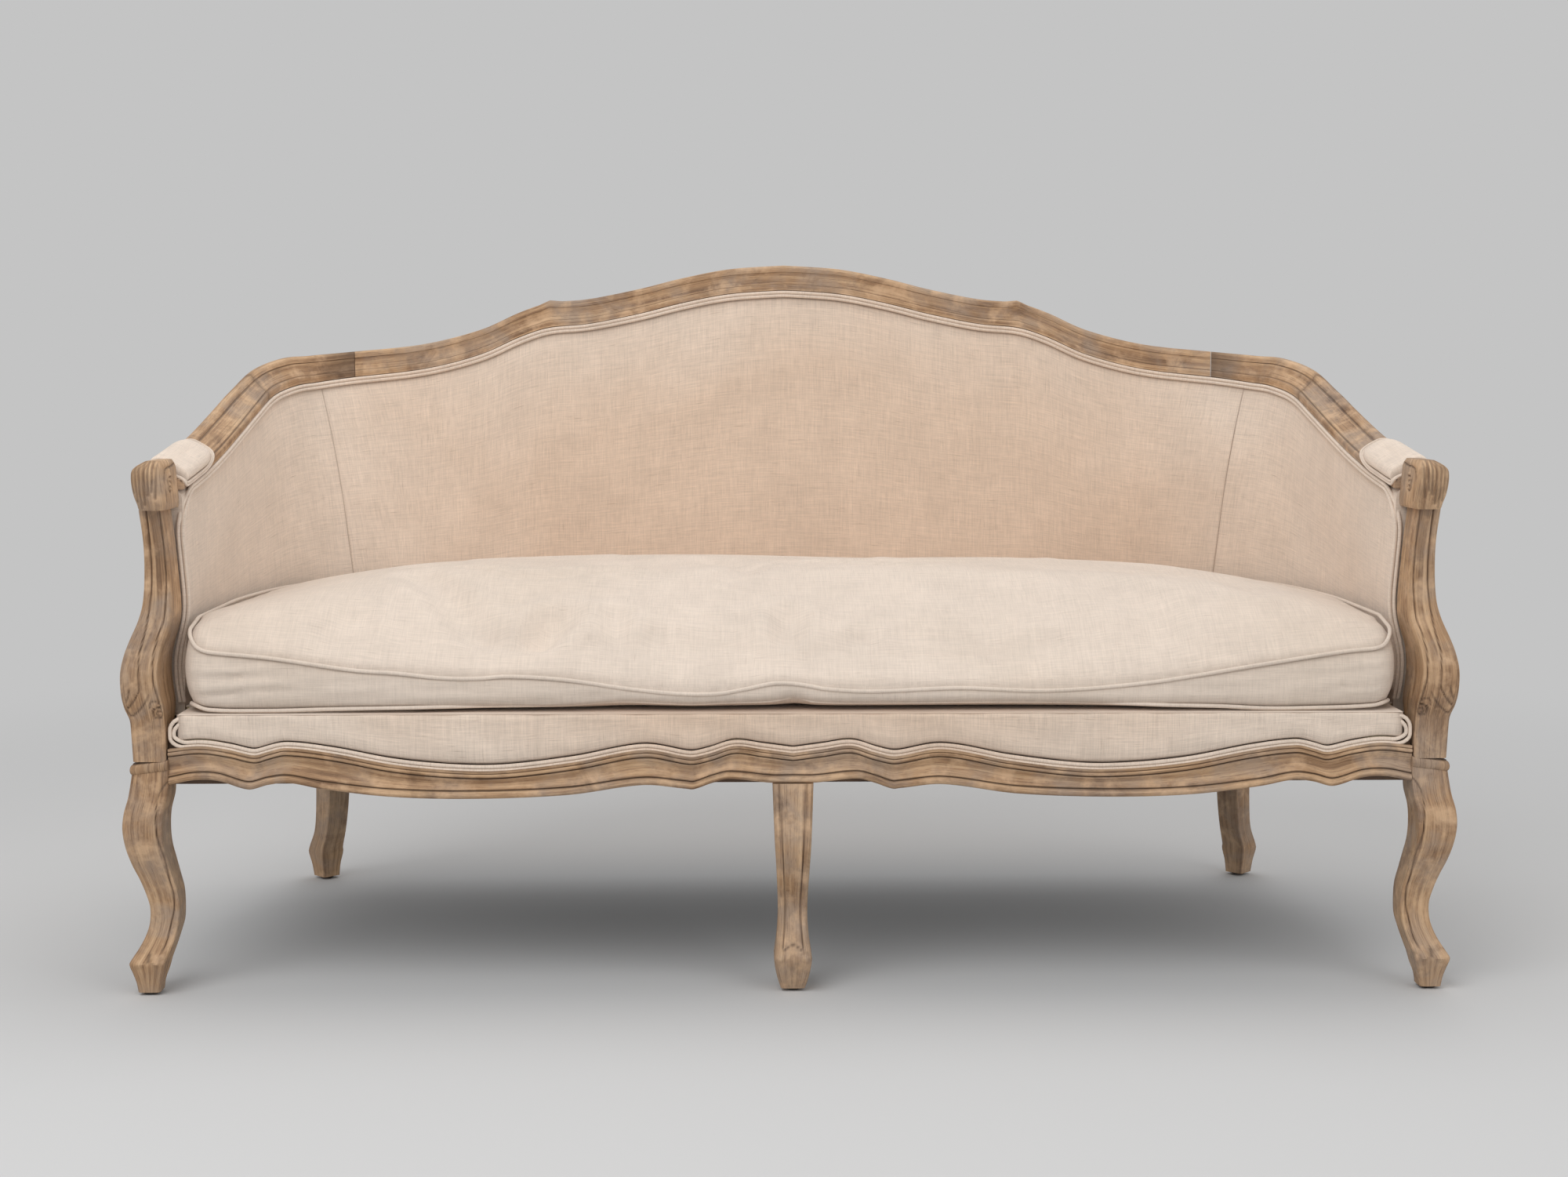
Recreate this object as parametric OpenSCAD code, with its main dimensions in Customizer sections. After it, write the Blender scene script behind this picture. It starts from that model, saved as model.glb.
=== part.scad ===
// Cabriole sofa: carved show-wood frame, linen upholstery and one loose boxed seat cushion.
// Millimetres, +Z up, front towards -Y, origin on the floor under the middle of the sofa.

/* [Overall] */
// Width over the knees of the corner legs
sofa_w = 1818; // [1600:2:2200]
// Depth from the knees of the corner legs to the back of the top rail
sofa_d = 763; // [700:1:860]
// Height of the crest above the floor
sofa_h = 1022; // [960:2:1120]

/* [Seat] */
// Height of the upholstered deck above the floor
deck_h = 389; // [380:1:400]
// Thickness of the foam under the deck
deck_foam_t = 35; // [26:1:44]
// Height of the cushion's boxing at its front corners
boxing_h = 90; // [75:1:110]
// Rise of the cushion's crown above its highest welt
cushion_crown = 34; // [10:1:60]
// Sink of the cushion's top welt in the middle of the front
cushion_sink = 56; // [0:1:60]
// Rise of the cushion's top welt from the front corners to the back
cushion_back_rise = 46; // [30:1:60]
// Swell of the boxing between its welts
boxing_puff = 3; // [0:0.5:4]
// Draw of the cushion's front, in the middle of its length
cushion_front_draw = 6; // [0:1:10]
// Radius of the cushion's front corners
cushion_corner = 45; // [30:1:60]
// Room between the cushion and the inside of an arm
cushion_side_gap = 17; // [12:1:24]
// Room between the cushion and the inside back
cushion_gap = 3; // [3:0.5:6]

/* [Show wood] */
// Height of the ring moulding on top of the corner legs
ring_h = 12; // [8:1:18]
// Distance from the deck down to the top of a corner leg
leg_drop = 77; // [70:1:90]
// Width of the square block at the top of a corner leg
leg_block = 50; // [44:1:60]
// Width of the middle leg where it meets the rail
middle_leg_w = 56; // [48:1:66]
// Width of a back leg under the seat rail
back_leg_w = 50; // [44:1:60]
// Height of the moulded face of the top rail
top_rail_h = 41; // [34:1:50]
// Depth of the top rail
top_rail_t = 38; // [34:1:44]
// Height of the knuckle at the front of each arm
knuckle_h = 66; // [56:1:78]
// Length of the knuckle
knuckle_l = 88; // [70:1:92]
// Height of the moulded face of the front rail in the middle
front_rail_h = 38; // [30:1:50]
// Thickness of the moulded face of the front rail
front_face_t = 12; // [8:1:16]

/* [Hidden frame] */
// Height of the side and back seat rails
seat_rail_h = 58; // [48:1:64]
// Thickness of the seat rails
seat_rail_t = 24; // [18:1:28]
// Thickness of the posts, stays and tacking rails
stay_t = 9; // [7:0.5:10]
// Hollow between the posts and the outside cover at the seat
hollow_t = 20; // [16:1:24]
// Height of the tacking rails over the seat rails
tack_rail_h = 24; // [16:1:34]
// Side of a corner block
block_side = 70; // [50:1:90]
// Height of a corner block
block_h = 40; // [30:1:46]
// Diameter of a corner block screw
screw_d = 5; // [4:0.5:6]
// Width of the cross brace under the springs
brace_w = 45; // [30:1:60]

/* [Springs and fixings] */
// Number of zigzag springs under the seat
spring_count = 13; // [7:1:14]
// Diameter of the spring wire
wire_d = 3.6; // [3:0.1:4]
// Width of a zigzag spring
spring_w = 50; // [40:1:60]
// Bends along a zigzag spring
spring_bends = 24; // [16:2:30]
// Diameter of the glides under the feet
glide_d = 22; // [16:1:26]
// Height of the glides
glide_t = 4; // [2:0.5:6]

/* [Upholstery] */
// Thickness of the cover cloth
cloth_t = 1.5; // [1:0.1:2.5]
// Thickness of the padding on the back and the arms
padding_t = 20; // [14:1:21]
// Thickness of a webbing strap
strap_t = 1.6; // [1:0.1:2]
// Width of a webbing strap
strap_w = 50; // [40:1:60]
// Diameter of one welt cord
welt_d = 5.5; // [4:0.1:6]
// Diameter of the welt round the arm pads
pad_welt_d = 4; // [3:0.1:5]
// Height of the zip in the back of the cushion
zip_h = 8; // [6:0.5:10]
// Distance from the edge of the dust cover to the outer face of the seat rails
dust_inset = 12; // [8:1:16]
// Height of the pads on the arms
arm_pad_h = 13; // [8:1:18]
// Thickness of the padded border on the front of the seat
border_t = 10; // [7:0.5:11]
// Crown of the inside back between seat and top rail
back_crown = 9; // [3:0.5:14]

/* [Hidden] */

oak = "#8a6a4c";
pine = "#c8a878";
linen = "#cbb59c";
foam = "#e8dcb8";
steel = "#8c8c90";
black_cloth = "#26262a";
jute = "#b89c6c";

half_w = sofa_w / 2;
front_y = -sofa_d / 2;
// Gap between solids that lie on each other
gap = 0.3;
round_sides = 32;

// Places along the inside of the arms and the back, from the front of the left arm to the
// middle of the back: x and y at seat level, x, y and z of the lower edge of the top rail, then
// how far the rail's face has turned upwards and how much taller it stands there. x is in shares
// of the half width, y in shares of the run from the arm stumps to the back of the sofa, and z
// in shares of the height.
arm_back_shares = [
    [-0.926, 0.000, -0.922, 0.000, 0.674, 1.00, 1.00],
    [-0.926, 0.089, -0.922, 0.089, 0.682, 1.00, 1.00],
    [-0.926, 0.208, -0.922, 0.208, 0.694, 1.00, 1.00],
    [-0.924, 0.356, -0.921, 0.356, 0.714, 1.00, 1.00],
    [-0.909, 0.504, -0.918, 0.519, 0.742, 1.00, 1.00],
    [-0.886, 0.630, -0.912, 0.639, 0.767, 0.90, 1.10],
    [-0.856, 0.716, -0.898, 0.735, 0.793, 0.60, 1.20],
    [-0.819, 0.782, -0.872, 0.817, 0.807, 0.35, 1.20],
    [-0.784, 0.825, -0.843, 0.865, 0.812, 0.20, 1.12],
    [-0.729, 0.850, -0.784, 0.915, 0.820, 0.08, 1.04],
    [-0.649, 0.861, -0.657, 0.933, 0.833, 0.00, 1.00],
    [-0.551, 0.863, -0.554, 0.938, 0.856, 0.00, 1.00],
    [-0.482, 0.865, -0.482, 0.940, 0.884, 0.00, 1.00],
    [-0.426, 0.865, -0.426, 0.941, 0.900, 0.00, 1.00],
    [-0.355, 0.866, -0.355, 0.942, 0.906, 0.00, 1.00],
    [-0.264, 0.866, -0.264, 0.943, 0.922, 0.00, 1.00],
    [-0.187, 0.867, -0.187, 0.944, 0.939, 0.00, 1.00],
    [-0.099, 0.867, -0.099, 0.944, 0.954, 0.00, 1.00],
    [0.000, 0.867, 0.000, 0.944, 0.960, 0.00, 1.00]];
// Where the arm's inside cover is seamed to the back's, along the run from arm to arm
seam_share = 8 / 36;
// Where the armrest is scarfed to the corner piece, and that to the top rail
scarf_share = 0.158;
joint_share = 0.252;

// Section of the top rail across its depth and face, from its inside lower edge up the
// moulded face, over the top and down the back
upright_shares = [[0, 0], [-0.08, 0.07], [-0.08, 0.22], [0.04, 0.28], [0.10, 0.48], [0.07, 0.70],
    [0.03, 0.76], [0.05, 0.93], [0.22, 1], [0.84, 0.96], [1, 0.75], [0.95, 0]];
// The same section where it lies over as an armrest
lying_shares = [[0, 0], [-0.08, 0.07], [-0.08, 0.22], [0.05, 0.32], [0.32, 0.40], [0.58, 0.51],
    [0.80, 0.66], [0.97, 0.76], [1.16, 0.73], [1.20, 0.56], [1.10, 0.02], [0.90, 0]];

// Heights, outward reach and inward reach of a corner leg, in shares of its height and block
corner_leg_shares = [[0.00, 0.48, 0.12], [0.045, 0.52, 0.16], [0.09, 0.59, 0.25],
    [0.135, 0.66, 0.32], [0.155, 0.60, 0.36], [0.20, 0.43, 0.45], [0.25, 0.285, 0.54],
    [0.30, 0.20, 0.615], [0.37, 0.18, 0.635], [0.44, 0.265, 0.62], [0.51, 0.39, 0.545],
    [0.58, 0.54, 0.465], [0.66, 0.665, 0.38], [0.74, 0.72, 0.36], [0.81, 0.685, 0.39],
    [0.88, 0.58, 0.48], [0.94, 0.52, 0.50], [1.00, 0.47, 0.50]];
// Heights, half width, forward reach and backward reach of the middle leg
middle_leg_shares = [[0.00, 0.30, 0.36, 0.26], [0.07, 0.40, 0.50, 0.36], [0.15, 0.465, 0.62, 0.32],
    [0.175, 0.45, 0.58, 0.34], [0.24, 0.40, 0.30, 0.46], [0.33, 0.365, 0.06, 0.64],
    [0.43, 0.37, 0.10, 0.66], [0.56, 0.40, 0.42, 0.52], [0.70, 0.44, 0.64, 0.44],
    [0.84, 0.47, 0.58, 0.44], [1.00, 0.50, 0.44, 0.44]];
// Heights, sideways shift, backward shift and half diagonal of a back leg, set cornerwise
back_leg_shares = [[0.00, 0.46, 0.74, 0.44], [0.07, 0.48, 0.78, 0.50], [0.14, 0.48, 0.76, 0.60],
    [0.17, 0.46, 0.72, 0.58], [0.28, 0.26, 0.44, 0.54], [0.45, 0.12, 0.18, 0.56],
    [0.65, 0.06, 0.06, 0.58], [1.00, 0.00, 0.00, 0.58]];
// Heights, outward, inward, forward and backward reach of an arm stump, the height in shares
// of the stump and the rest in shares of the leg block, from the block's centre
stump_shares = [[0.00, 0.43, 0.46, 0.50, 0.50], [0.12, 0.46, 0.46, 0.52, 0.50],
    [0.17, 0.48, 0.46, 0.56, 0.70], [0.22, 0.60, 0.44, 0.62, 0.90], [0.28, 0.66, 0.37, 0.68, 0.98],
    [0.36, 0.655, 0.34, 0.70, 0.98], [0.43, 0.56, 0.40, 0.62, 0.98], [0.49, 0.42, 0.52, 0.50, 0.98],
    [0.56, 0.24, 0.64, 0.32, 0.98], [0.63, 0.13, 0.65, 0.20, 0.98], [0.74, 0.09, 0.60, 0.10, 0.98],
    [0.87, 0.09, 0.53, 0.12, 0.98], [1.00, 0.16, 0.44, 0.22, 0.98]];
// Distance from the front, outward and inward reach from the leg block's centre, and foot
// and top of the knuckle, in shares of its length, of the block, and of its height
knuckle_shares = [[0.00, 0.10, 0.40, 0.22, 0.80], [0.05, 0.18, 0.50, 0.08, 0.94],
    [0.20, 0.22, 0.56, 0.00, 1.00], [0.55, 0.22, 0.58, 0.00, 1.00], [0.85, 0.20, 0.62, 0.03, 0.92],
    [1.00, 0.18, 0.64, 0.16, 0.80]];
// Lower edge of the front rail from the middle outwards: place in shares of the half span,
// height in shares of the face's height above its lowest point
rail_edge_shares = [[0.000, 0.55], [0.035, 0.55], [0.102, 0.69], [0.130, 0.55], [0.160, 0.32],
    [0.172, 0.34], [0.241, 0.48], [0.362, 0.13], [0.514, 0.00], [0.644, 0.08], [0.755, 0.37],
    [0.810, 0.60], [0.842, 0.53], [0.868, 0.37], [0.882, 0.40], [0.922, 0.68], [0.960, 0.71],
    [1.000, 0.54]];
// Upper edge of the same rail under the border's welt, in the same shares
border_edge_shares = [[0.000, 1.55], [0.050, 1.70], [0.094, 1.82], [0.130, 1.58],
    [0.158, 1.43], [0.172, 1.44], [0.240, 1.68], [0.350, 1.25], [0.466, 0.95], [0.550, 0.97],
    [0.642, 1.18], [0.740, 1.60], [0.812, 1.79], [0.840, 1.66], [0.858, 1.54], [0.870, 1.55],
    [0.905, 1.74], [0.950, 1.87], [1.000, 1.76]];

// Vertical stack of the seat
rail_low_z = deck_h - deck_foam_t - seat_rail_h - 3 * cloth_t;
rail_top_z = rail_low_z + seat_rail_h;
spring_z = rail_top_z - wire_d;
spring_cover_z = spring_z + wire_d + gap;
deck_foam_z = spring_cover_z + cloth_t / 2 + gap;
deck_cover_z = deck_h - cloth_t;

// Places of the corner legs and back legs
knee_reach_share = 0.72;
leg_x = half_w - knee_reach_share * leg_block;
leg_y = front_y + knee_reach_share * leg_block;
back_leg_place_shares = [0.822, 0.878];
back_leg_x = half_w * back_leg_place_shares[0];
back_leg_y = front_y + sofa_d * back_leg_place_shares[1];
block_clear = leg_block / 2 + gap;
back_leg_top_z = rail_low_z - gap;
leg_h = deck_h - leg_drop;
stump_z = leg_h + ring_h;
arm_z = arm_back_shares[0][4] * sofa_h;
knuckle_drop_share = 0.36;
knuckle_z = arm_z - knuckle_h * knuckle_drop_share;
stump_h = knuckle_z - stump_z;
// Room between an arm stump and the covers of the arm behind it
stump_room = 4.3;
panel_front_y = leg_y + max([for (s = stump_shares) s[4]]) * leg_block + stump_room;
function run_y(share) = mix(panel_front_y, -front_y, share);

// Thickness from the inside surface to the outside cover, at the seat and at the top
shell_low_t = padding_t + stay_t + strap_t + hollow_t;
rail_cover_share = 0.92;
shell_top_t = top_rail_t * rail_cover_share;

front_span = leg_x - block_clear;
rail_drop_share = 0.35;
front_rail_z = rail_low_z - seat_rail_h * rail_drop_share;
face_reach_share = 0.46;
front_face_y = leg_y - leg_block * face_reach_share;
batten_y = front_face_y + front_face_t + gap;
border_y = batten_y - gap - border_t;

function mix(a, b, t) = a + (b - a) * t;
function unit(v) = v / norm(v);
function flat(lists) = [for (list = lists) each list];
function reversed(list) = [for (i = [len(list) - 1:-1:0]) list[i]];
function mean(points) = points * [for (p = points) 1] / len(points);
function centre(points) = [for (k = [0:2]) mean([for (p = points) p[k]])];
// Shares from u0 to u1 at which every piece that follows the arms and the back has a corner,
// so that pieces which lie on each other have the same facets
station_count = 72;
station_near_share = 0.001;
function stations(u0, u1) = let (near = station_near_share) concat([u0],
    [for (i = [0:station_count]) let (u = i / station_count) if (u > u0 + near && u < u1 - near) u],
    [u1]);
function knot(list, i) = list[max(0, min(len(list) - 1, i))];

// Smooth place on a run of control points, t from 0 to 1
function smooth(list, t) = let (
    s = min(max(t, 0), 1) * (len(list) - 1),
    i = min(floor(s), len(list) - 2),
    f = s - i,
    a = knot(list, i - 1),
    b = knot(list, i),
    c = knot(list, i + 1),
    d = knot(list, i + 2)
) b + 0.5 * f * (c - a + f * (2 * a - 5 * b + 4 * c - d + f * (3 * (b - c) + d - a)));

// Smooth value at x in a table of places and values
function slope(table, i) = let (
    a = knot(table, i - 1),
    b = knot(table, i + 1)
) (b[1] - a[1]) / (b[0] - a[0]);
function curve_at(table, x) = let (
    below = [for (i = [0:len(table) - 2]) if (table[i][0] <= x) i],
    i = below[len(below) - 1],
    a = table[i],
    b = table[i + 1],
    w = b[0] - a[0],
    f = (x - a[0]) / w,
    rise = b[1] - a[1]
) a[1] + f * f * (3 - 2 * f) * rise
    + w * f * (1 - f) * ((1 - f) * slope(table, i) - f * slope(table, i + 1));

// Control row of the arms and the back, u from 0 at the left arm to 1 at the right arm
function arm_back(u) = let (r = smooth(arm_back_shares, 1 - abs(1 - 2 * u)))
    u <= 0.5 ? r : [-r[0], r[1], -r[2], r[3], r[4], r[5], r[6]];
function seat_edge(u) = let (r = arm_back(u)) [r[0] * half_w, run_y(r[1]), deck_h];
function rail_edge(u) = let (r = arm_back(u)) [r[2] * half_w, run_y(r[3]), r[4] * sofa_h];
function top_z(u) = rail_edge(u)[2];

// Place on the inside surface at height z, without its padding's crown
function inside(u, z) = let (t = (z - deck_h) / (top_z(u) - deck_h), p = mix(seat_edge(u), rail_edge(u), t))
    [p[0], p[1], z];
step_share = 0.01;
// Gap between pieces that meet end to end along the run
joint_gap_share = 0.0004;
function outward(u, z) = let (
    a = inside(max(0, u - step_share), z),
    b = inside(min(1, u + step_share), z),
    d = unit([b[0] - a[0], b[1] - a[1]])
) [-d[1], d[0], 0];
function skin(u, z, off) = inside(u, z) + outward(u, z) * off;
function height_share(u, z) = min(max((z - deck_h) / (top_z(u) - deck_h), 0), 1);
// Crown of the padding, less on the arms than on the back
arm_crown_share = 0.35;
function crown(u, z) = back_crown * sin(180 * height_share(u, z))
    * mix(arm_crown_share, 1, sin(180 * u) ^ 3);
function shell_t(u, z) = mix(shell_low_t, shell_top_t, height_share(u, z));

// Signed volume of a triangle mesh, times six
function volume(points, faces) = [for (f = faces) points[f[0]] * cross(points[f[1]], points[f[2]])]
    * [for (f = faces) 1];

// Solid from points and triangles, with its faces turned outwards
module solid(points, faces) {
    turned = volume(points, faces) > 0 ? [for (f = faces) reversed(f)] : faces;
    polyhedron(points, turned, convexity = 8);
}

function ring_faces(a, b, n) = [for (j = [0:n - 1]) let (k = (j + 1) % n)
    each [[a + j, b + j, a + k], [a + k, b + j, b + k]]];
function cap_faces(a, n, tip) = [for (j = [0:n - 1]) [tip, a + j, a + (j + 1) % n]];

// Skin over a run of rings that have equally many points
module loft(rings) {
    n = len(rings[0]);
    last = (len(rings) - 1) * n;
    points = concat(flat(rings), [centre(rings[0]), centre(rings[len(rings) - 1])]);
    sides = [for (i = [0:len(rings) - 2]) each ring_faces(i * n, (i + 1) * n, n)];
    solid(points, concat(sides, cap_faces(0, n, last + n),
        [for (f = cap_faces(last, n, last + n + 1)) reversed(f)]));
}

// Closed skin over rings that run round a loop
module loop_loft(rings) {
    n = len(rings[0]);
    m = len(rings);
    solid(flat(rings), [for (i = [0:m - 1]) each ring_faces(i * n, ((i + 1) % m) * n, n)]);
}

// Slab between two grids of points, rows by columns
module slab(front, back) {
    rows = len(front);
    cols = len(front[0]);
    edge = concat([for (j = [0:cols - 2]) j],
        [for (i = [0:rows - 2]) i * cols + cols - 1],
        [for (j = [cols - 1:-1:1]) (rows - 1) * cols + j],
        [for (i = [rows - 1:-1:1]) i * cols]);
    face = [for (i = [0:rows - 2]) for (j = [0:cols - 2]) let (a = i * cols + j)
        each [[a, a + 1, a + cols], [a + 1, a + cols + 1, a + cols]]];
    m = rows * cols;
    rim = [for (k = [0:len(edge) - 1]) let (a = edge[k], b = edge[(k + 1) % len(edge)])
        each [[a, a + m, b], [b, a + m, b + m]]];
    solid(concat(flat(front), flat(back)),
        concat(face, [for (f = face) [f[0] + m, f[2] + m, f[1] + m]], rim));
}

// Ring of a cord across the direction d, set square to a reference direction
welt_sides = 6;
function cord_ring(p, d, across, r) = let (side = unit(cross(d, across)), up = unit(cross(side, d)))
    [for (k = [0:welt_sides - 1]) let (a = 360 * k / welt_sides) p + r * (cos(a) * side + sin(a) * up)];
// Cord along an open path, with one reference direction for each place
module cord(path, across, d) {
    loft([for (i = [0:len(path) - 1])
        cord_ring(path[i], knot(path, i + 1) - knot(path, i - 1), across[i], d / 2)]);
}
// Cord along a level loop
module cord_loop(path, d) {
    n = len(path);
    loop_loft([for (i = [0:n - 1])
        cord_ring(path[i], path[(i + 1) % n] - path[(i + n - 1) % n], [0, 0, 1], d / 2)]);
}

// Rounded rectangle of 12 points, from the inside lower corner up and round
corner_cut_share = 0.3;
function block_ring(x_in, x_out, low, high) = let (
    r = corner_cut_share * min(abs(x_in - x_out), high - low) / 2,
    s = sign(x_out - x_in)
) [[x_in + s * r, low], [x_in, low + r], [x_in, (low + high) / 2], [x_in, high - r],
    [x_in + s * r, high], [(x_in + x_out) / 2, high], [x_out - s * r, high], [x_out, high - r],
    [x_out, (low + high) / 2], [x_out, low + r], [x_out - s * r, low], [(x_in + x_out) / 2, low]];

// Panel that follows the arms and the back, between two depths that are functions of u and z
module panel(us, z0, drop, near, far, rows) {
    function grid(off) = [for (i = [0:rows]) [for (u = us) let (z = mix(z0, top_z(u) - drop, i / rows))
        skin(u, z, off(u, z))]];
    slab(grid(near), grid(far));
}

// Bar of even height sawn to the plan of the arms and the back, with a straight lead in front
module plan_bar(u0, u1, near, far, z0, h, lead = 0) {
    us = stations(u0, u1);
    function edge(off) = concat(
        lead > 0 ? [plan_point(u0, off) - [0, lead]] : [],
        [for (u = us) plan_point(u, off)]);
    near_edge = edge(near);
    far_edge = edge(far);
    translate([0, 0, z0])
        linear_extrude(h)
            polygon(concat(near_edge, reversed(far_edge)));
}

// Same piece on the right, mirrored from the left
module on_right() {
    mirror([1, 0, 0])
        children();
}

// Legs

// Rounded square ring around a corner post, reaching unevenly to each side
function post_ring(x, y, out, in, front, back, z) =
    [for (p = block_ring(x + in, x - out, y - front, y + back)) [p[0], p[1], z]];

module front_leg() {
    rings = [for (s = corner_leg_shares) post_ring(-leg_x, leg_y, s[1] * leg_block, s[2] * leg_block,
        s[1] * leg_block, s[2] * leg_block, glide_t + gap + s[0] * (leg_h - glide_t - gap))];
    color(oak) {
        loft(rings);
        translate([-leg_x, leg_y, leg_h])
            ring_moulding();
    }
}

// Ring moulding between a leg and its stump: two beads with a groove between them
module ring_moulding() {
    bead_h = ring_h / 2;
    for (level = [0, 1]) {
        side = leg_block - level * bead_h / 2;
        translate([leg_block / 2 - side, leg_block / 2 - side, level * bead_h])
            cube([side, side, bead_h]);
    }
}

module front_leg_middle() {
    top = rail_low_z - gap;
    y = batten_y + seat_rail_t / 2;
    color(oak)
        loft([for (s = middle_leg_shares) post_ring(0, y, s[1] * middle_leg_w, s[1] * middle_leg_w,
            s[2] * middle_leg_w, s[3] * middle_leg_w, glide_t + gap + s[0] * (top - glide_t - gap))]);
}

// Square ring turned cornerwise, with half its diagonal
function diamond_ring(x, y, half, z) =
    [for (p = block_ring(half, -half, -half, half)) [x + (p[0] + p[1]) / 2, y + (p[1] - p[0]) / 2, z]];

module back_leg() {
    color(oak)
        loft([for (s = back_leg_shares) diamond_ring(-back_leg_x - s[1] * back_leg_w,
            back_leg_y + s[2] * back_leg_w, s[3] * back_leg_w,
            glide_t + gap + s[0] * (back_leg_top_z - glide_t - gap))]);
}

module foot_glides() {
    foot = corner_leg_shares[0];
    shift = (foot[1] - foot[2]) / 2 * leg_block;
    mid = middle_leg_shares[0];
    back = back_leg_shares[0];
    places = [[-leg_x - shift, leg_y - shift], [leg_x + shift, leg_y - shift],
        [0, batten_y + seat_rail_t / 2 + (mid[3] - mid[2]) / 2 * middle_leg_w],
        [-back_leg_x - back[1] * back_leg_w, back_leg_y + back[2] * back_leg_w],
        [back_leg_x + back[1] * back_leg_w, back_leg_y + back[2] * back_leg_w]];
    color(steel)
        for (p = places)
            translate([p[0], p[1], 0])
                cylinder(d = glide_d, h = glide_t, $fn = round_sides);
}

// Front rail and hidden frame

edge_steps = 36;
edge_step_share = 0.01;
// Height along a table of shares at a place on the front, x from the middle
function edge_z(table, x) = front_rail_z + front_rail_h * curve_at(table, min(abs(x) / front_span, 1));
// Place beside the scalloped edge under the border, at a distance square to it
function beside_edge(x, off) = let (
    dx = edge_step_share * front_span,
    rise = edge_z(border_edge_shares, x + dx) - edge_z(border_edge_shares, x - dx),
    n = unit([-rise, 2 * dx])
) [x + n[0] * off, edge_z(border_edge_shares, x) + n[1] * off];
function front_xs() = [for (i = [-edge_steps:edge_steps]) front_span * i / edge_steps];

// Upright board across the front, from its lower edge to its upper edge
module front_board(y, t, lower, upper) {
    translate([0, y + t, 0])
        rotate([90, 0, 0])
            linear_extrude(t)
                polygon(concat(lower, reversed(upper)));
}

module front_rail() {
    lower = [for (x = front_xs()) [x, edge_z(rail_edge_shares, x)]];
    color(oak)
        front_board(front_face_y, front_face_t, lower,
            [for (x = front_xs()) [x, edge_z(border_edge_shares, x) - 2 * welt_d]]);
}

module front_rail_batten() {
    color(pine)
        translate([-front_span, batten_y, rail_low_z])
            cube([2 * front_span, seat_rail_t, seat_rail_h]);
}

rail_end_share = 0.205;
rail_lead = panel_front_y - leg_y - block_clear;
module side_rail() {
    color(oak)
        plan_bar(0, rail_end_share, shell_low_t - seat_rail_t, shell_low_t + cloth_t,
            rail_low_z, seat_rail_h, rail_lead);
}

module back_rail() {
    color(oak)
        plan_bar(rail_end_share + joint_gap_share, 1 - rail_end_share - joint_gap_share,
            shell_low_t - seat_rail_t, shell_low_t + cloth_t, rail_low_z, seat_rail_h);
}

// Front and back faces of the rails that the springs and braces run between
span_front_y = batten_y + seat_rail_t + gap;
spring_span_share = 0.2;
function plan_point(u, off) = let (p = skin(u, deck_h, off)) [p[0], p[1]];
back_plan = [for (u = stations(spring_span_share, 1 - spring_span_share))
    plan_point(u, shell_low_t - seat_rail_t - gap)];
function span_back_y(x, w) = min(lookup(x - w / 2, back_plan), lookup(x + w / 2, back_plan));

brace_shares = [-0.5, 0, 0.5];
module seat_brace() {
    color(pine)
        for (share = brace_shares) {
            x = share * front_span;
            translate([x - brace_w / 2, span_front_y, rail_low_z])
                cube([brace_w, span_back_y(x, brace_w) - span_front_y, seat_rail_h / 2]);
        }
}

// Segment of timber glued into the curve of a back corner, and a wedge behind the front corners
block_z = spring_z - gap - block_h;
block_reach_share = 0.030;
module back_corner_block() {
    us = stations(rail_end_share - block_reach_share, rail_end_share + block_reach_share);
    translate([0, 0, block_z])
        linear_extrude(block_h)
            polygon([for (u = us) plan_point(u, shell_low_t - seat_rail_t - 2 * gap)]);
}

block_x = -front_span;
block_y = span_front_y;
screw_shift = block_side / 4;
screw_head_d = 2 * screw_d;
module front_corner_block() {
    difference() {
        translate([block_x, block_y, block_z])
            linear_extrude(block_h)
                polygon([[0, 0], [block_side, 0], [0, block_side]]);
        for (level = [1, 3])
            block_screw_place(level)
                cylinder(d = screw_d + gap, h = 2 * block_side, center = true, $fn = round_sides);
    }
}
module block_screw_place(level) {
    translate([block_x + screw_shift, block_y, block_z + level * block_h / 4])
        rotate([-90, 0, 0])
            children();
}
screw_l = block_side - screw_shift + screw_head_d / 2 + gap;
module block_screws() {
    for (level = [1, 3])
        block_screw_place(level) {
            cylinder(d = screw_d, h = screw_l, $fn = round_sides);
            translate([0, 0, screw_l])
                cylinder(d = screw_head_d, h = screw_d / 2, $fn = round_sides);
        }
}

module corner_blocks() {
    color(pine) {
        front_corner_block();
        back_corner_block();
        on_right() {
            front_corner_block();
            back_corner_block();
        }
    }
}

module corner_block_screws() {
    color(steel) {
        block_screws();
        on_right()
            block_screws();
    }
}

// Arms

module arm_stump() {
    color(oak)
        loft([for (s = stump_shares) post_ring(-leg_x, leg_y, s[1] * leg_block, s[2] * leg_block,
            s[3] * leg_block, s[4] * leg_block, stump_z + gap + s[0] * (stump_h - 2 * gap))]);
}

// Section of the rail at a place along the arms and back
function rail_shares(turn) = mix(upright_shares, lying_shares, turn);
function rail_point(u, s, rise) = rail_edge(u) + outward(u, top_z(u)) * s[0] * top_rail_t
    + [0, 0, s[1] * top_rail_h * rise];
function rail_ring(u) = let (r = arm_back(u)) [for (s = rail_shares(r[5])) rail_point(u, s, r[6])];
function rail_rings(u0, u1) = [for (u = stations(u0, u1)) rail_ring(u)];

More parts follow.
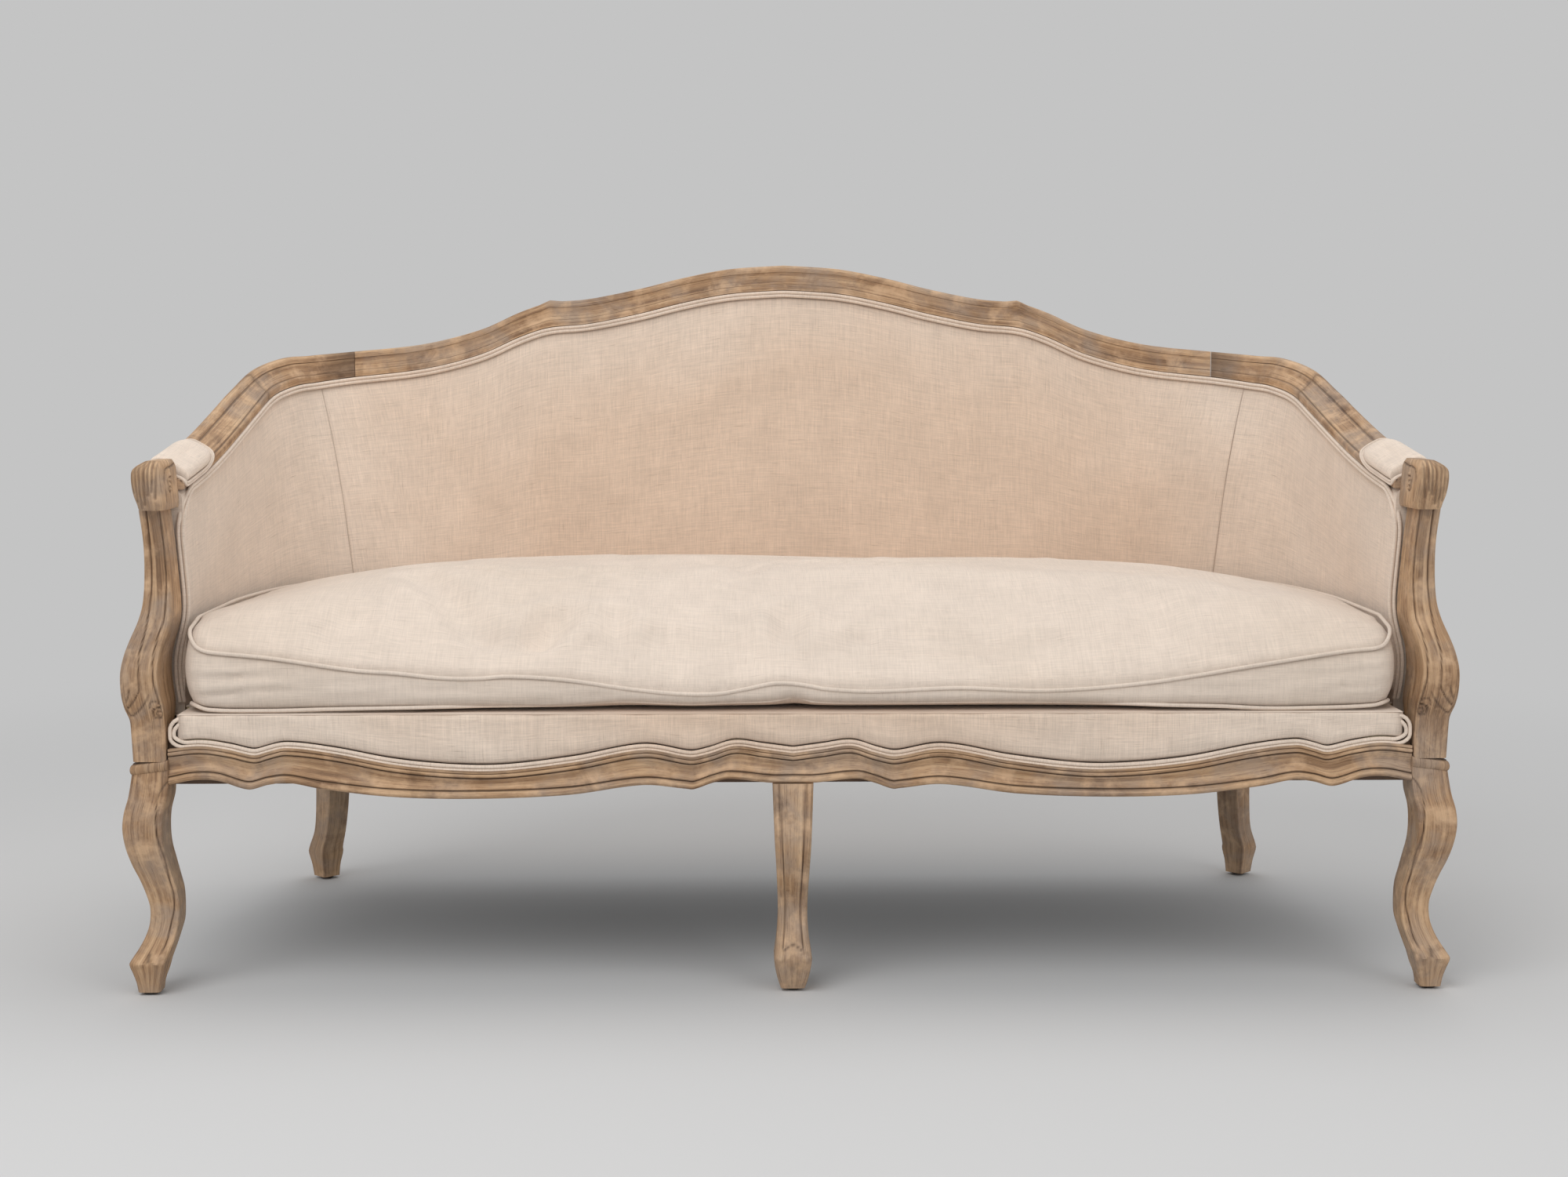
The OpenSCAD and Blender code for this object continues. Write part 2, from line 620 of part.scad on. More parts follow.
knuckle_front_y = panel_front_y - knuckle_l;
function knuckle_ring(s) = [for (p = block_ring(-leg_x + s[2] * leg_block, -leg_x - s[1] * leg_block,
    knuckle_z + s[3] * knuckle_h, knuckle_z + s[4] * knuckle_h))
    [p[0], knuckle_front_y + s[0] * (knuckle_l - gap), p[1]]];

module armrest() {
    color(oak)
        loft(concat([for (s = knuckle_shares) knuckle_ring(s)],
            rail_rings(0, scarf_share)));
}

module top_corner() {
    color(oak)
        loft(rail_rings(scarf_share + joint_gap_share, joint_share));
}

module top_rail() {
    color(oak)
        loft(rail_rings(joint_share + joint_gap_share, 1 - joint_share - joint_gap_share));
}

// Posts and tacking rails between the padding and the outside covers

stay_near = padding_t + strap_t + 3 * gap;
stay_far = stay_near + stay_t;
stay_share = 0.008;
module stay(u) {
    color(pine)
        panel(stations(u - stay_share, u + stay_share), rail_top_z + gap, 2 * gap,
            function(u, z) stay_near, function(u, z) stay_far, 5);
}

stay_place_shares = [0.40, 0.60];
module back_stays() {
    for (u = stay_place_shares)
        stay(u);
}

module arm_tack_rail() {
    color(pine)
        plan_bar(0, rail_end_share - 2 * stay_share, stay_near, stay_far, rail_top_z + gap, tack_rail_h);
}

tack_gap_share = stay_share + 3 * station_near_share;
module back_tack_rail() {
    marks = concat([seam_share], stay_place_shares, [1 - seam_share]);
    color(pine)
        for (i = [0:2])
            plan_bar(marks[i] + tack_gap_share, marks[i + 1] - tack_gap_share, stay_near, stay_far,
                rail_top_z + gap, tack_rail_h);
}

// Springs and their clips

clip_w = 4 * wire_d;
clip_t = wire_d / 2;
spring_span = back_plan[0][0] + spring_w;
spring_room = clip_t + wire_d;
spring_y = span_front_y + spring_room;
function spring_x(i) = mix(spring_span, -spring_span, i / (spring_count - 1));
function spring_end(i) = span_back_y(spring_x(i), spring_w + clip_w) - spring_room;

// Flat zigzag of wire from the front rail to the back rail
module zigzag(i) {
    y1 = spring_end(i);
    run = (y1 - spring_y) / spring_bends;
    half_wire = wire_d * norm([spring_w, run]) / run / 2;
    middle = [for (k = [0:spring_bends]) [spring_x(i) + (k % 2 - 0.5) * spring_w, spring_y + k * run]];
    translate([0, 0, spring_z])
        linear_extrude(wire_d)
            polygon(concat([for (p = middle) p + [half_wire, 0]],
                [for (p = reversed(middle)) p - [half_wire, 0]]));
}

module zigzag_springs() {
    color(steel)
        for (i = [0:spring_count - 1])
            zigzag(i);
}

module clip(x, y) {
    translate([x - clip_w / 2, y, spring_z])
        cube([clip_w, clip_t, wire_d]);
}
// One clip on the rail in front of each spring and one on the rail behind it
module spring_clips() {
    color(steel)
        for (i = [0:spring_count - 1]) {
            clip(spring_x(i) - spring_w / 2, span_front_y);
            clip(spring_x(i) - spring_w / 2, spring_end(i) + spring_room - clip_t);
        }
}

// Seat upholstery

// How far the deck and the cushion stay from the middle of a leg block, in shares of the block
seat_clear_share = 0.82;
deck_x = leg_x - seat_clear_share * leg_block - gap;
// Outline of the deck: from a straight front between the stumps to a distance inside the covers
module seat_plan(y, inset) {
    front = panel_front_y - gap;
    polygon(concat([[deck_x, front], [deck_x, y], [-deck_x, y], [-deck_x, front]],
        [for (u = stations(0, 1)) plan_point(u, -inset)]));
}

module seat_sheet(z, t, y, inset) {
    translate([0, 0, z])
        linear_extrude(t)
            seat_plan(y, inset);
}

module spring_cover() {
    color(jute)
        seat_sheet(spring_cover_z, cloth_t / 2, batten_y, 2 * cloth_t);
}

module deck_foam() {
    color(foam)
        seat_sheet(deck_foam_z, deck_cover_z - gap - deck_foam_z, batten_y, 2 * cloth_t);
}

module deck_cover() {
    color(linen)
        seat_sheet(deck_cover_z, cloth_t, border_y, cloth_t);
}

border_side = front_span - 2 * (welt_d + gap);
function within_border(p) = [max(min(p[0], border_side), -border_side), p[1]];
module front_border() {
    xs = [for (i = [-edge_steps:edge_steps]) border_side * i / edge_steps];
    color(linen)
        front_board(border_y, border_t,
            [for (x = xs) within_border(beside_edge(x, 2 * (welt_d + gap)))],
            [for (x = xs) [x, deck_cover_z - gap]]);
}

// Double welt down both ends of the border and along its scalloped edge
function seat_welt_path(k) = let (
    low = (k + 0.5) * welt_d,
    x0 = front_span - low,
    y = batten_y - gap - welt_d / 2,
    z0 = edge_z(border_edge_shares, x0) + low,
    xs = [for (i = [1 - edge_steps:edge_steps - 1]) front_span * i / edge_steps],
    end_shares = [0, 0.3, 0.6, 0.85, 1]
) concat([for (t = end_shares) [-x0, y, mix(deck_cover_z, z0, t)]],
    [for (x = xs) let (p = beside_edge(x, low)) [p[0], y, p[1]]],
    [for (t = reversed(end_shares)) [x0, y, mix(deck_cover_z, z0, t)]]);

module seat_welt() {
    color(linen)
        for (k = [0, 1]) {
            path = seat_welt_path(k);
            cord(path, [for (p = path) [0, 1, 0]], welt_d - gap);
        }
}

module leg_cut(x, y, w) {
    translate([x - w / 2, y - w / 2])
        square(w);
}
module dust_cover() {
    color(black_cloth)
        translate([0, 0, rail_low_z - gap - cloth_t])
            linear_extrude(cloth_t)
                difference() {
                    seat_plan(batten_y + dust_inset, dust_inset - shell_low_t);
                    leg_cut(0, batten_y + seat_rail_t / 2, 2 * middle_leg_w);
                    for (side = [-1, 1])
                        leg_cut(side * back_leg_x, back_leg_y, back_leg_w + dust_inset);
                }
}

// Back and arm upholstery

webbing_row_shares = [0.12, 0.38, 0.64];
module back_webbing() {
    us = stations(seam_share - stay_share, 1 - seam_share + stay_share);
    near = padding_t + 2 * gap;
    function strap(z, off) = [for (level = [0, strap_w]) [for (u = us) skin(u, z + level, off)]];
    color(jute)
        for (row = webbing_row_shares) {
            z = mix(rail_top_z, top_z(us[0]) - strap_w, row);
            slab(strap(z, near), strap(z, near + strap_t));
        }
}

cover_z = deck_cover_z - deck_foam_t / 3;
panel_rows = 5;
back_span = [seam_share + joint_gap_share, 1 - seam_share - joint_gap_share];
module padding(u0, u1) {
    color(foam)
        panel(stations(u0, u1), cover_z, 3 * gap, function(u, z) cloth_t + gap - crown(u, z),
            function(u, z) padding_t, panel_rows);
}
module inside_cover(u0, u1) {
    color(linen)
        panel(stations(u0, u1), cover_z, gap, function(u, z) -crown(u, z),
            function(u, z) cloth_t - crown(u, z), panel_rows);
}
module outside_cover(u0, u1) {
    color(linen)
        panel(stations(u0, u1), rail_top_z + gap, gap, function(u, z) shell_t(u, z) - cloth_t,
            function(u, z) shell_t(u, z), 3);
}

// Double welt up the front of each arm and along the whole lower edge of the show wood
welt_us = [for (i = [2:station_count - 2]) i / station_count];
welt_rise_shares = [0.06, 0.35, 0.65, 0.88];
function rail_down(u) = unit(cross(rail_edge(u + step_share / 2) - rail_edge(u - step_share / 2),
    outward(u, top_z(u)))) * -1;
function back_welt_path(k) = let (
    low = (k + 0.5) * welt_d,
    lift = -welt_d / 2 - 3 * gap,
    front = [for (t = welt_rise_shares) let (z = mix(deck_h, top_z(0) - 2 * low, t))
        skin(0, z, lift - crown(0, z)) + [0, low, 0]]
) concat(front,
    [for (u = welt_us) let (v = top_z(u) - low) rail_edge(u) + outward(u, v) * (lift - crown(u, v))
        + rail_down(u) * (low + gap)],
    [for (p = reversed(front)) [-p[0], p[1], p[2]]]);
function back_welt_across() = let (ends = [for (t = welt_rise_shares) outward(0, deck_h)])
    concat(ends, [for (u = welt_us) outward(u, top_z(u))], [for (v = ends) [-v[0], v[1], 0]]);

module back_welt() {
    color(linen)
        for (k = [0, 1])
            cord(back_welt_path(k), back_welt_across(), welt_d - gap);
}

// Arm pads

pad_span_shares = [0.002, 0.070];
pad_end_share = 0.25;
pad_cover_shares = [0.45, 0.85, 1, 1, 1, 0.85, 0.4];
pad_steps = 7;
function pad_end(t) = mix(pad_end_share, 1, sqrt(max(0, 1 - (2 * t - 1) ^ 6)));
// Place over the armrest's section, k from 2 on its inner side to 8 on its outer side
function over_rail(u, k, lift) = let (
    s = rail_shares(arm_back(u)[5]),
    p = mix(s[floor(k)], s[ceil(k)], k - floor(k)),
    run = s[ceil(k) + 1] - s[floor(k) - 1],
    d = unit([run[0] * top_rail_t, run[1] * top_rail_h])
) rail_point(u, p, 1) - outward(u, top_z(u)) * d[1] * lift + [0, 0, d[0] * lift];
pad_first = 2;
pad_last = 8;

module arm_pad() {
    ts = [for (i = [0:pad_steps]) i / pad_steps];
    function row(t, rise) = let (u = mix(pad_span_shares[0], pad_span_shares[1], t))
        [for (k = [pad_first:pad_last])
            over_rail(u, k, gap + rise * pad_end(t) * pad_cover_shares[k - pad_first])];
    color(linen)
        slab([for (t = ts) row(t, arm_pad_h)], [for (t = ts) row(t, 0)]);
}

// Welt along the pad's inner side, round its back end and along its outer side
pad_beside_share = 0.002;
pad_edge_share = 0.6;
module arm_pad_welt() {
    lift = pad_welt_d / 2 + 2 * gap;
    u0 = pad_span_shares[0] + pad_beside_share;
    u1 = pad_span_shares[1];
    ahead = [for (i = [0:pad_steps]) mix(u0, u1, i / pad_steps)];
    path = concat([for (u = ahead) over_rail(u, pad_first - pad_edge_share, lift)],
        [for (k = [pad_first:pad_last]) over_rail(u1 + 2 * pad_beside_share, k, lift)],
        [for (u = reversed(ahead)) over_rail(u, pad_last + pad_edge_share, lift)]);
    color(linen)
        cord(path, [for (p = path) [0, 0, 1]], pad_welt_d);
}

// Loose seat cushion

cushion_low_z = deck_h + gap;
cushion_front_y = border_y + boxing_puff;
cushion_x = leg_x - seat_clear_share * leg_block - cushion_gap - boxing_puff - gap;
cushion_sides = 26;
cushion_fronts = 12;
corner_steps = 4;

// Room between the cushion's back and side and the inside covers
function cushion_room(u) = mix(cushion_side_gap, cushion_gap, sin(180 * u) ^ 2);
function cushion_side(u, inset) = let (p = plan_point(u, -inset - cushion_room(u)))
    [min(max(p[0], inset - cushion_x), cushion_x - inset), p[1]];
function cushion_turn(a, inset) = let (r = cushion_corner - inset, c = cushion_corner)
    [c - cushion_x + r * cos(a), cushion_front_y + c + r * sin(a)];
function cushion_front(t, inset) = let (x = mix(cushion_x - cushion_corner, cushion_corner - cushion_x, t))
    [x, cushion_front_y + inset + cushion_front_draw * sin(180 * t)];

// Plan of the cushion: right to left along the front, then round the left side, back and right
function cushion_plan(inset) = let (
    turn = [for (i = [0:corner_steps]) cushion_turn(270 - 90 * i / corner_steps, inset)]
) concat([for (i = [1:cushion_fronts - 1]) cushion_front(i / cushion_fronts, inset)], turn,
    [for (i = [1:cushion_sides - 1]) cushion_side(i / cushion_sides, inset)],
    [for (p = reversed(turn)) [-p[0], p[1]]]);

crown_place_share = 0.55;
crown_rise_share = 0.75;
cushion_y = mix(cushion_front_y, seat_edge(0.5)[1], crown_place_share);
crown_z = deck_h + boxing_h + cushion_back_rise + cushion_crown * crown_rise_share;
// Height of the top welt: sunk in the middle of the front, raised along the back
function welt_z(p) = let (
    back = min(max((p[1] - cushion_front_y) / (seat_edge(0.5)[1] - cushion_front_y), 0), 1),
    middle = cos(90 * min(abs(p[0]) / cushion_x, 1))
) deck_h + boxing_h - cushion_sink * middle * (1 - back) ^ 4 + cushion_back_rise * back ^ 0.8;
function dome(p, s, inset) = let (z = welt_z(p) - inset, q = mix([0, cushion_y], p, s))
    [q[0], q[1], mix(crown_z - inset, z, s ^ 4)];

dome_shares = [1, 0.95, 0.87, 0.74, 0.55, 0.28];
underside_share = 0.9;
// Rings of the cushion from its underside up the boxing and over the crown
function cushion_rings(inset, every) = let (
    pick = function(list) [for (i = [0:every:len(list) - 1]) list[i]],
    edge = pick(cushion_plan(welt_d + gap + inset)),
    puffed = pick(cushion_plan(welt_d + gap - boxing_puff + inset)),
    low = cushion_low_z + inset
) concat([[for (p = edge) let (q = mix([0, cushion_y], p, underside_share)) [q[0], q[1], low]]],
    [[for (p = edge) [p[0], p[1], low + welt_d / 2]]],
    [[for (p = puffed) [p[0], p[1], mix(low, welt_z(p) - inset, 0.5)]]],
    [for (s = dome_shares) [for (p = edge) dome(p, s, inset)]]);

module cushion_cover() {
    color(linen)
        difference() {
            loft(cushion_rings(0, 1));
            loft(cushion_rings(cloth_t, 1));
        }
}

module cushion_insert() {
    color("white")
        loft(cushion_rings(cloth_t + gap, 1));
}

module cushion_welt_top() {
    color(linen)
        cord_loop([for (p = cushion_plan(welt_d / 2)) [p[0], p[1], welt_z(p)]], welt_d - gap);
}

module cushion_welt_bottom() {
    color(linen)
        cord_loop([for (p = cushion_plan(welt_d / 2)) [p[0], p[1], cushion_low_z + welt_d / 2]],
            welt_d - gap);
}

zip_span_shares = [0.30, 0.70];
module cushion_zip() {
    z = mix(cushion_low_z, welt_z([0, seat_edge(0.5)[1]]), 0.5);
    function tape(depth) = [for (level = [-zip_h / 2, zip_h / 2])
        [for (u = stations(zip_span_shares[0], zip_span_shares[1]))
            let (p = plan_point(u, depth - cushion_room(u))) [p[0], p[1], z + level]]];
    near = boxing_puff - welt_d;
    color(steel)
        slab(tape(near), tape(near + cloth_t));
}

front_leg();  // front_leg_left
on_right() front_leg();  // front_leg_right
front_leg_middle();
back_leg();  // back_leg_left
on_right() back_leg();  // back_leg_right
foot_glides();
front_rail();
front_rail_batten();
side_rail();  // side_rail_left
on_right() side_rail();  // side_rail_right
back_rail();
seat_brace();
corner_blocks();
corner_block_screws();
arm_stump();  // arm_stump_left
on_right() arm_stump();  // arm_stump_right
armrest();  // armrest_left
on_right() armrest();  // armrest_right
top_corner();  // top_corner_left
on_right() top_corner();  // top_corner_right
top_rail();
stay(seam_share);  // back_post_left
stay(1 - seam_share);  // back_post_right
back_stays();
arm_tack_rail();  // arm_tack_rail_left
on_right() arm_tack_rail();  // arm_tack_rail_right
back_tack_rail();
zigzag_springs();
spring_clips();
spring_cover();
deck_foam();
deck_cover();
front_border();
seat_welt();
dust_cover();
back_webbing();
padding(back_span[0], back_span[1]);  // back_foam
padding(0, seam_share);  // arm_foam_left
on_right() padding(0, seam_share);  // arm_foam_right
inside_cover(back_span[0], back_span[1]);  // inside_back_cover
inside_cover(0, seam_share);  // inside_arm_cover_left
on_right() inside_cover(0, seam_share);  // inside_arm_cover_right
back_welt();
outside_cover(back_span[0], back_span[1]);  // outside_back_cover
outside_cover(0, seam_share);  // outside_arm_cover_left
on_right() outside_cover(0, seam_share);  // outside_arm_cover_right
arm_pad();  // arm_pad_left
on_right() arm_pad();  // arm_pad_right
arm_pad_welt();  // arm_pad_welt_left
on_right() arm_pad_welt();  // arm_pad_welt_right
cushion_insert();
cushion_cover();
cushion_welt_top();
cushion_welt_bottom();
cushion_zip();
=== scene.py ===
"""Cabriole sofa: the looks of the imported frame, in its own metres and axes."""
from functools import cache
from math import cos, exp, pi, radians, sin, sqrt

import bmesh
import bpy
import numpy as np
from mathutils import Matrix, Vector, kdtree
from numpy.linalg import norm


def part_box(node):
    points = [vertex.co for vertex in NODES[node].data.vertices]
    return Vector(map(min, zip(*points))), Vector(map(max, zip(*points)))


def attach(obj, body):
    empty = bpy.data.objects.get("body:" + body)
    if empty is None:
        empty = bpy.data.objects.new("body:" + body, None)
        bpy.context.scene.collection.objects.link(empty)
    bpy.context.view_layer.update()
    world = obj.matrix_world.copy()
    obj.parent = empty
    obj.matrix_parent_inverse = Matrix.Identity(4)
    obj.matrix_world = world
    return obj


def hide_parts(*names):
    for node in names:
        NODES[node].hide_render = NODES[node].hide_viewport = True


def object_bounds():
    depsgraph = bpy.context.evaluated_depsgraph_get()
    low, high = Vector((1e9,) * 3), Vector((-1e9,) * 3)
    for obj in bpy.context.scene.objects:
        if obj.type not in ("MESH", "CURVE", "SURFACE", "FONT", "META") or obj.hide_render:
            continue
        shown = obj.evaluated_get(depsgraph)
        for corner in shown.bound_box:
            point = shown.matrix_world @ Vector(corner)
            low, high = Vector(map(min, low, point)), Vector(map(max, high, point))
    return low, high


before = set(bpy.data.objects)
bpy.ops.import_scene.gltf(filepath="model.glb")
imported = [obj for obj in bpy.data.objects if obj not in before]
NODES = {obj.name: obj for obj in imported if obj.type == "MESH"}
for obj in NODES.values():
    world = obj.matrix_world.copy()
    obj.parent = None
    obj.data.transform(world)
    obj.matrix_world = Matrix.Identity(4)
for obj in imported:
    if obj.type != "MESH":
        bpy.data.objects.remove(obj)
FRAME_BOUNDS = [list(p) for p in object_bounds()]


def table(width, numbers):
    """Rows of so many numbers each."""
    return np.array(numbers.split(), float).reshape(-1, width)


# Sizes of the sofa, read off the frame
HALF_W = FRAME_BOUNDS[1][0]
SOFA_D = -2 * FRAME_BOUNDS[0][1]
DECK_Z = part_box("deck_cover")[1][2]
(_, BATTEN_FRONT_Y, RAIL_LOW_Z), (_, BATTEN_BACK_Y, RAIL_TOP_Z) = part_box("front_rail_batten")
(_, FACE_Y, FACE_LOW_Z), (FRONT_SPAN, FACE_BACK_Y, _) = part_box("front_rail")
(_, CUSHION_FRONT_Y, CUSHION_LOW_Z), (CUSHION_X, CUSHION_BACK_Y, _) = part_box("cushion_welt_bottom")
STUMP_LOW_Z, STUMP_HIGH_Z = (p[2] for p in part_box("arm_stump_left"))
GLIDE_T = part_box("foot_glides")[1][2]
LEG_BLOCK = 0.050
LEG_X = HALF_W - 0.72 * LEG_BLOCK
LEG_Y = -SOFA_D / 2 + 0.72 * LEG_BLOCK
RAIL_H, RAIL_T = 0.041, 0.038
SOFA_H = (FRAME_BOUNDS[1][2] - RAIL_H) / 0.960
SHELL_LOW_T, SHELL_TOP_T = 0.0506, 0.92 * RAIL_T
PANEL_FRONT_Y = LEG_Y + 0.98 * LEG_BLOCK + 0.0043
WELT_D = 0.0055
BACK_CROWN = 0.009
GAP = 0.0003

# Control rows along the inside of the arms and the back, from the front of the left arm to the
# middle of the back: x and y at the seat, x, y and z of the rail's lower edge, then the turn of
# the rail's face and its extra height; y is in shares of the run from the stumps to the back
ARM_BACK_SHARES = table(7, """
    -.926 .000 -.922 .000 .674 1 1        -.926 .089 -.922 .089 .682 1 1
    -.926 .208 -.922 .208 .694 1 1        -.924 .356 -.921 .356 .714 1 1
    -.909 .504 -.918 .519 .742 1 1        -.886 .630 -.912 .639 .767 .90 1.10
    -.856 .716 -.898 .735 .793 .60 1.20   -.819 .782 -.872 .817 .807 .35 1.20
    -.784 .825 -.843 .865 .812 .20 1.12   -.729 .850 -.784 .915 .820 .08 1.04
    -.649 .861 -.657 .933 .833 0 1        -.551 .863 -.554 .938 .856 0 1
    -.482 .865 -.482 .940 .884 0 1        -.426 .865 -.426 .941 .900 0 1
    -.355 .866 -.355 .942 .906 0 1        -.264 .866 -.264 .943 .922 0 1
    -.187 .867 -.187 .944 .939 0 1        -.099 .867 -.099 .944 .954 0 1
    .000 .867 .000 .944 .960 0 1""")
MIRROR_ROW = np.array([-1, 1, -1, 1, 1, 1, 1])
MIRROR = np.array([-1, 1, 1])
# Shares of the way round where pieces meet: seams, scarf and joint of the rail, ends of the seat rails
SEAM_SHARE, SCARF_SHARE, JOINT_SHARE, RAIL_END_SHARE = 8 / 36, 0.158, 0.252, 0.205
STEP_SHARE, JOINT_GAP_SHARE = 0.01, 0.0002


def mix(a, b, t):
    return a + (b - a) * t


def clamp(v, low=0, high=1):
    return min(max(v, low), high)


def unit(v):
    v = np.asarray(v, float)
    return v / norm(v)


def unit_rows(v, least=0.0):
    return v / (norm(v, axis=-1)[..., None] + least)


def curved(a, b, c, d, f):
    """Place at a share f of the way from b to c, on a smooth curve that goes on to a and d."""
    return b + 0.5 * f * (c - a + f * (2 * a - 5 * b + 4 * c - d + f * (3 * (b - c) + d - a)))


def smooth(rows, t):
    """Smooth place on a run of control points, t from 0 to 1."""
    last = len(rows) - 1
    s = clamp(t) * last
    i = min(int(s), last - 1)
    return curved(*(rows[clamp(i + k, 0, last)] for k in (-1, 0, 1, 2)), s - i)


def smooth_run(rows, count):
    """count + 1 smooth places along control points."""
    rows = np.asarray(rows, float)
    return np.array([smooth(rows, i / count) for i in range(count + 1)])


def closed_smooth(rows, per):
    """Points on a smooth closed line through control points, so many for each."""
    return np.array([curved(*(rows[(i + k) % len(rows)] for k in (-1, 0, 1, 2)), f / per)
                     for i in range(len(rows)) for f in range(per)])


def eased(path, times=3):
    """An open path with its corners rounded off."""
    for _ in range(times):
        path[1:-1] = 0.5 * path[1:-1] + 0.25 * (path[:-2] + path[2:])
    return path


def table_value(rows, x):
    """Smooth value at x in a table of places and values."""
    xs, vs = rows[:, 0], rows[:, 1]
    last = len(xs) - 1
    i = clamp(int(np.searchsorted(xs, x, side="right")) - 1, 0, last - 1)
    slopes = [(vs[b] - vs[a]) / (xs[b] - xs[a]) for a, b in ((max(i - 1, 0), i + 1), (i, min(i + 2, last)))]
    w = xs[i + 1] - xs[i]
    f = (x - xs[i]) / w
    bend = w * f * (1 - f) * ((1 - f) * slopes[0] - f * slopes[1])
    return vs[i] + f * f * (3 - 2 * f) * (vs[i + 1] - vs[i]) + bend


@cache
def arm_back(u):
    row = smooth(ARM_BACK_SHARES, 1 - abs(1 - 2 * u))
    return row if u <= 0.5 else row * MIRROR_ROW


def edge_place(x, y, z):
    return np.array([x * HALF_W, mix(PANEL_FRONT_Y, SOFA_D / 2, y), z])


def rail_edge(u):
    _, _, x, y, z, _, _ = arm_back(u)
    return edge_place(x, y, z * SOFA_H)


def top_z(u):
    return rail_edge(u)[2]


def inside(u, z):
    """Place on the inside surface of the arms and the back, without its padding's crown."""
    t = (z - DECK_Z) / (top_z(u) - DECK_Z)
    p = mix(edge_place(*arm_back(u)[:2], DECK_Z), rail_edge(u), t)
    return np.array([p[0], p[1], z])


def outward(u, z):
    d = unit((inside(min(1, u + STEP_SHARE), z) - inside(max(0, u - STEP_SHARE), z))[:2])
    return np.array([-d[1], d[0], 0])


def skin(u, z, off):
    return inside(u, z) + outward(u, z) * off


def height_share(u, z):
    return clamp((z - DECK_Z) / (top_z(u) - DECK_Z))


def crown(u, z):
    return BACK_CROWN * (sin(pi * height_share(u, z)) * mix(0.35, 1, sin(pi * u) ** 3))


def run(u0, u1, step):
    count = max(2, round((u1 - u0) / step))
    return [mix(u0, u1, i / count) for i in range(count + 1)]


# Meshes

def measured(grid):
    """Place of each grid point along and across the piece, in metres."""
    u, v = (np.concatenate([[0], np.cumsum(norm(np.diff(grid, axis=a), axis=2).mean(1 - a))])
            for a in (0, 1))
    return np.stack(np.meshgrid(u, v, indexing="ij"), axis=2)


def shell(grid, uv=None, groove=None, loop=False):
    """Skin round rings of points, which close to a loop or have a cap at each end."""
    grid = np.asarray(grid)
    rows, cols = grid.shape[:2]
    wide = np.concatenate([grid, grid[:, :1]], axis=1)
    wide = np.concatenate([wide, wide[:1]]) if loop else wide
    r, c = wide.shape[:2]
    uv = (measured(wide) if uv is None else uv).reshape(-1, 2)
    i, j = np.mgrid[:r - 1, :c - 1].reshape(2, -1)
    quads = [(i, j), (i, j + 1), (i + 1, j + 1), (i + 1, j)]
    faces = np.stack([a % rows * cols + b % cols for a, b in quads], axis=1).tolist()
    corners = np.stack([a * c + b for a, b in quads], axis=1).tolist()
    if not loop:
        ends = np.concatenate([grid[0], grid[-1]])
        upright = np.ptp(ends[:cols, 2]) > np.ptp(ends[:cols, 1])
        around = np.arange(cols)
        faces += [around.tolist(), ((rows - 1) * cols + around[::-1]).tolist()]
        corners += [(len(uv) + around).tolist(), (len(uv) + cols + around[::-1]).tolist()]
        uv = np.concatenate([uv, ends[:, [0, 2]] if upright else ends[:, :2]])
    groove = np.zeros((rows, cols)) if groove is None else groove
    return {"points": grid.reshape(-1, 3), "faces": faces, "corners": corners, "uv": uv,
            "groove": groove.ravel()}


def slab(near, far, groove=None, far_groove=None):
    """Closed solid between two grids of points."""
    uv = measured(near)
    if groove is not None:
        far_groove = np.zeros_like(groove) if far_groove is None else far_groove
        groove = np.concatenate([groove, far_groove[:, ::-1]], axis=1)
    return shell(np.concatenate([near, far[:, ::-1]], axis=1),
                 np.concatenate([uv, uv[:, ::-1], uv[:, :1]], axis=1), groove)


def add_object(name, data):
    obj = bpy.data.objects.new(name, data)
    bpy.context.scene.collection.objects.link(obj)
    return obj


def face_outwards(mesh):
    bm = bmesh.new()
    bm.from_mesh(mesh)
    bmesh.ops.recalc_face_normals(bm, faces=bm.faces)
    bm.to_mesh(mesh)
    bm.free()


def paint_shade_and_stain(mesh, values):
    """Painted shade at each point, with a real stain by the rail joints, for the finishes to darken."""
    tone = mesh.attributes.new("groove", "FLOAT", "POINT")
    tone.data.foreach_set("value", values.astype(np.float32))


def dress(obj, finish, body, node):
    """Gives a piece its finish and body, in place of the CAD node it stands for."""
    obj.data.materials.append(finish.material)
    obj.data.shade_smooth()
    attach(obj, body)
    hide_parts(node)


def piece(node, shells, finish, body="frame"):
    """One object from closed skins, in place of a CAD node."""
    starts = np.cumsum([0] + [len(s["points"]) for s in shells]).tolist()
    mesh = bpy.data.meshes.new(f"{node}_shown")
    mesh.from_pydata(np.concatenate([s["points"] for s in shells]).tolist(), [],
                     [[at + k for k in face] for at, s in zip(starts, shells) for face in s["faces"]])
    uv = np.concatenate([s["uv"][[k for face in s["corners"] for k in face]] for s in shells])
    mesh.uv_layers.new(name="surface").data.foreach_set("uv", uv.ravel())
    paint_shade_and_stain(mesh, np.concatenate([s["groove"] for s in shells]))
    face_outwards(mesh)
    obj = add_object(mesh.name, mesh)
    dress(obj, finish, body, node)
    mesh.set_sharp_from_angle(angle=radians(40))
    return obj


def pair(node, shells, finish):
    """A left piece and its mirror image."""
    mirrored = [{**s, "points": s["points"] * MIRROR} for s in shells]
    return piece(f"{node}_left", shells, finish), piece(f"{node}_right", mirrored, finish)


SIDE_STEPS, CORNER_STEPS = 22, 6


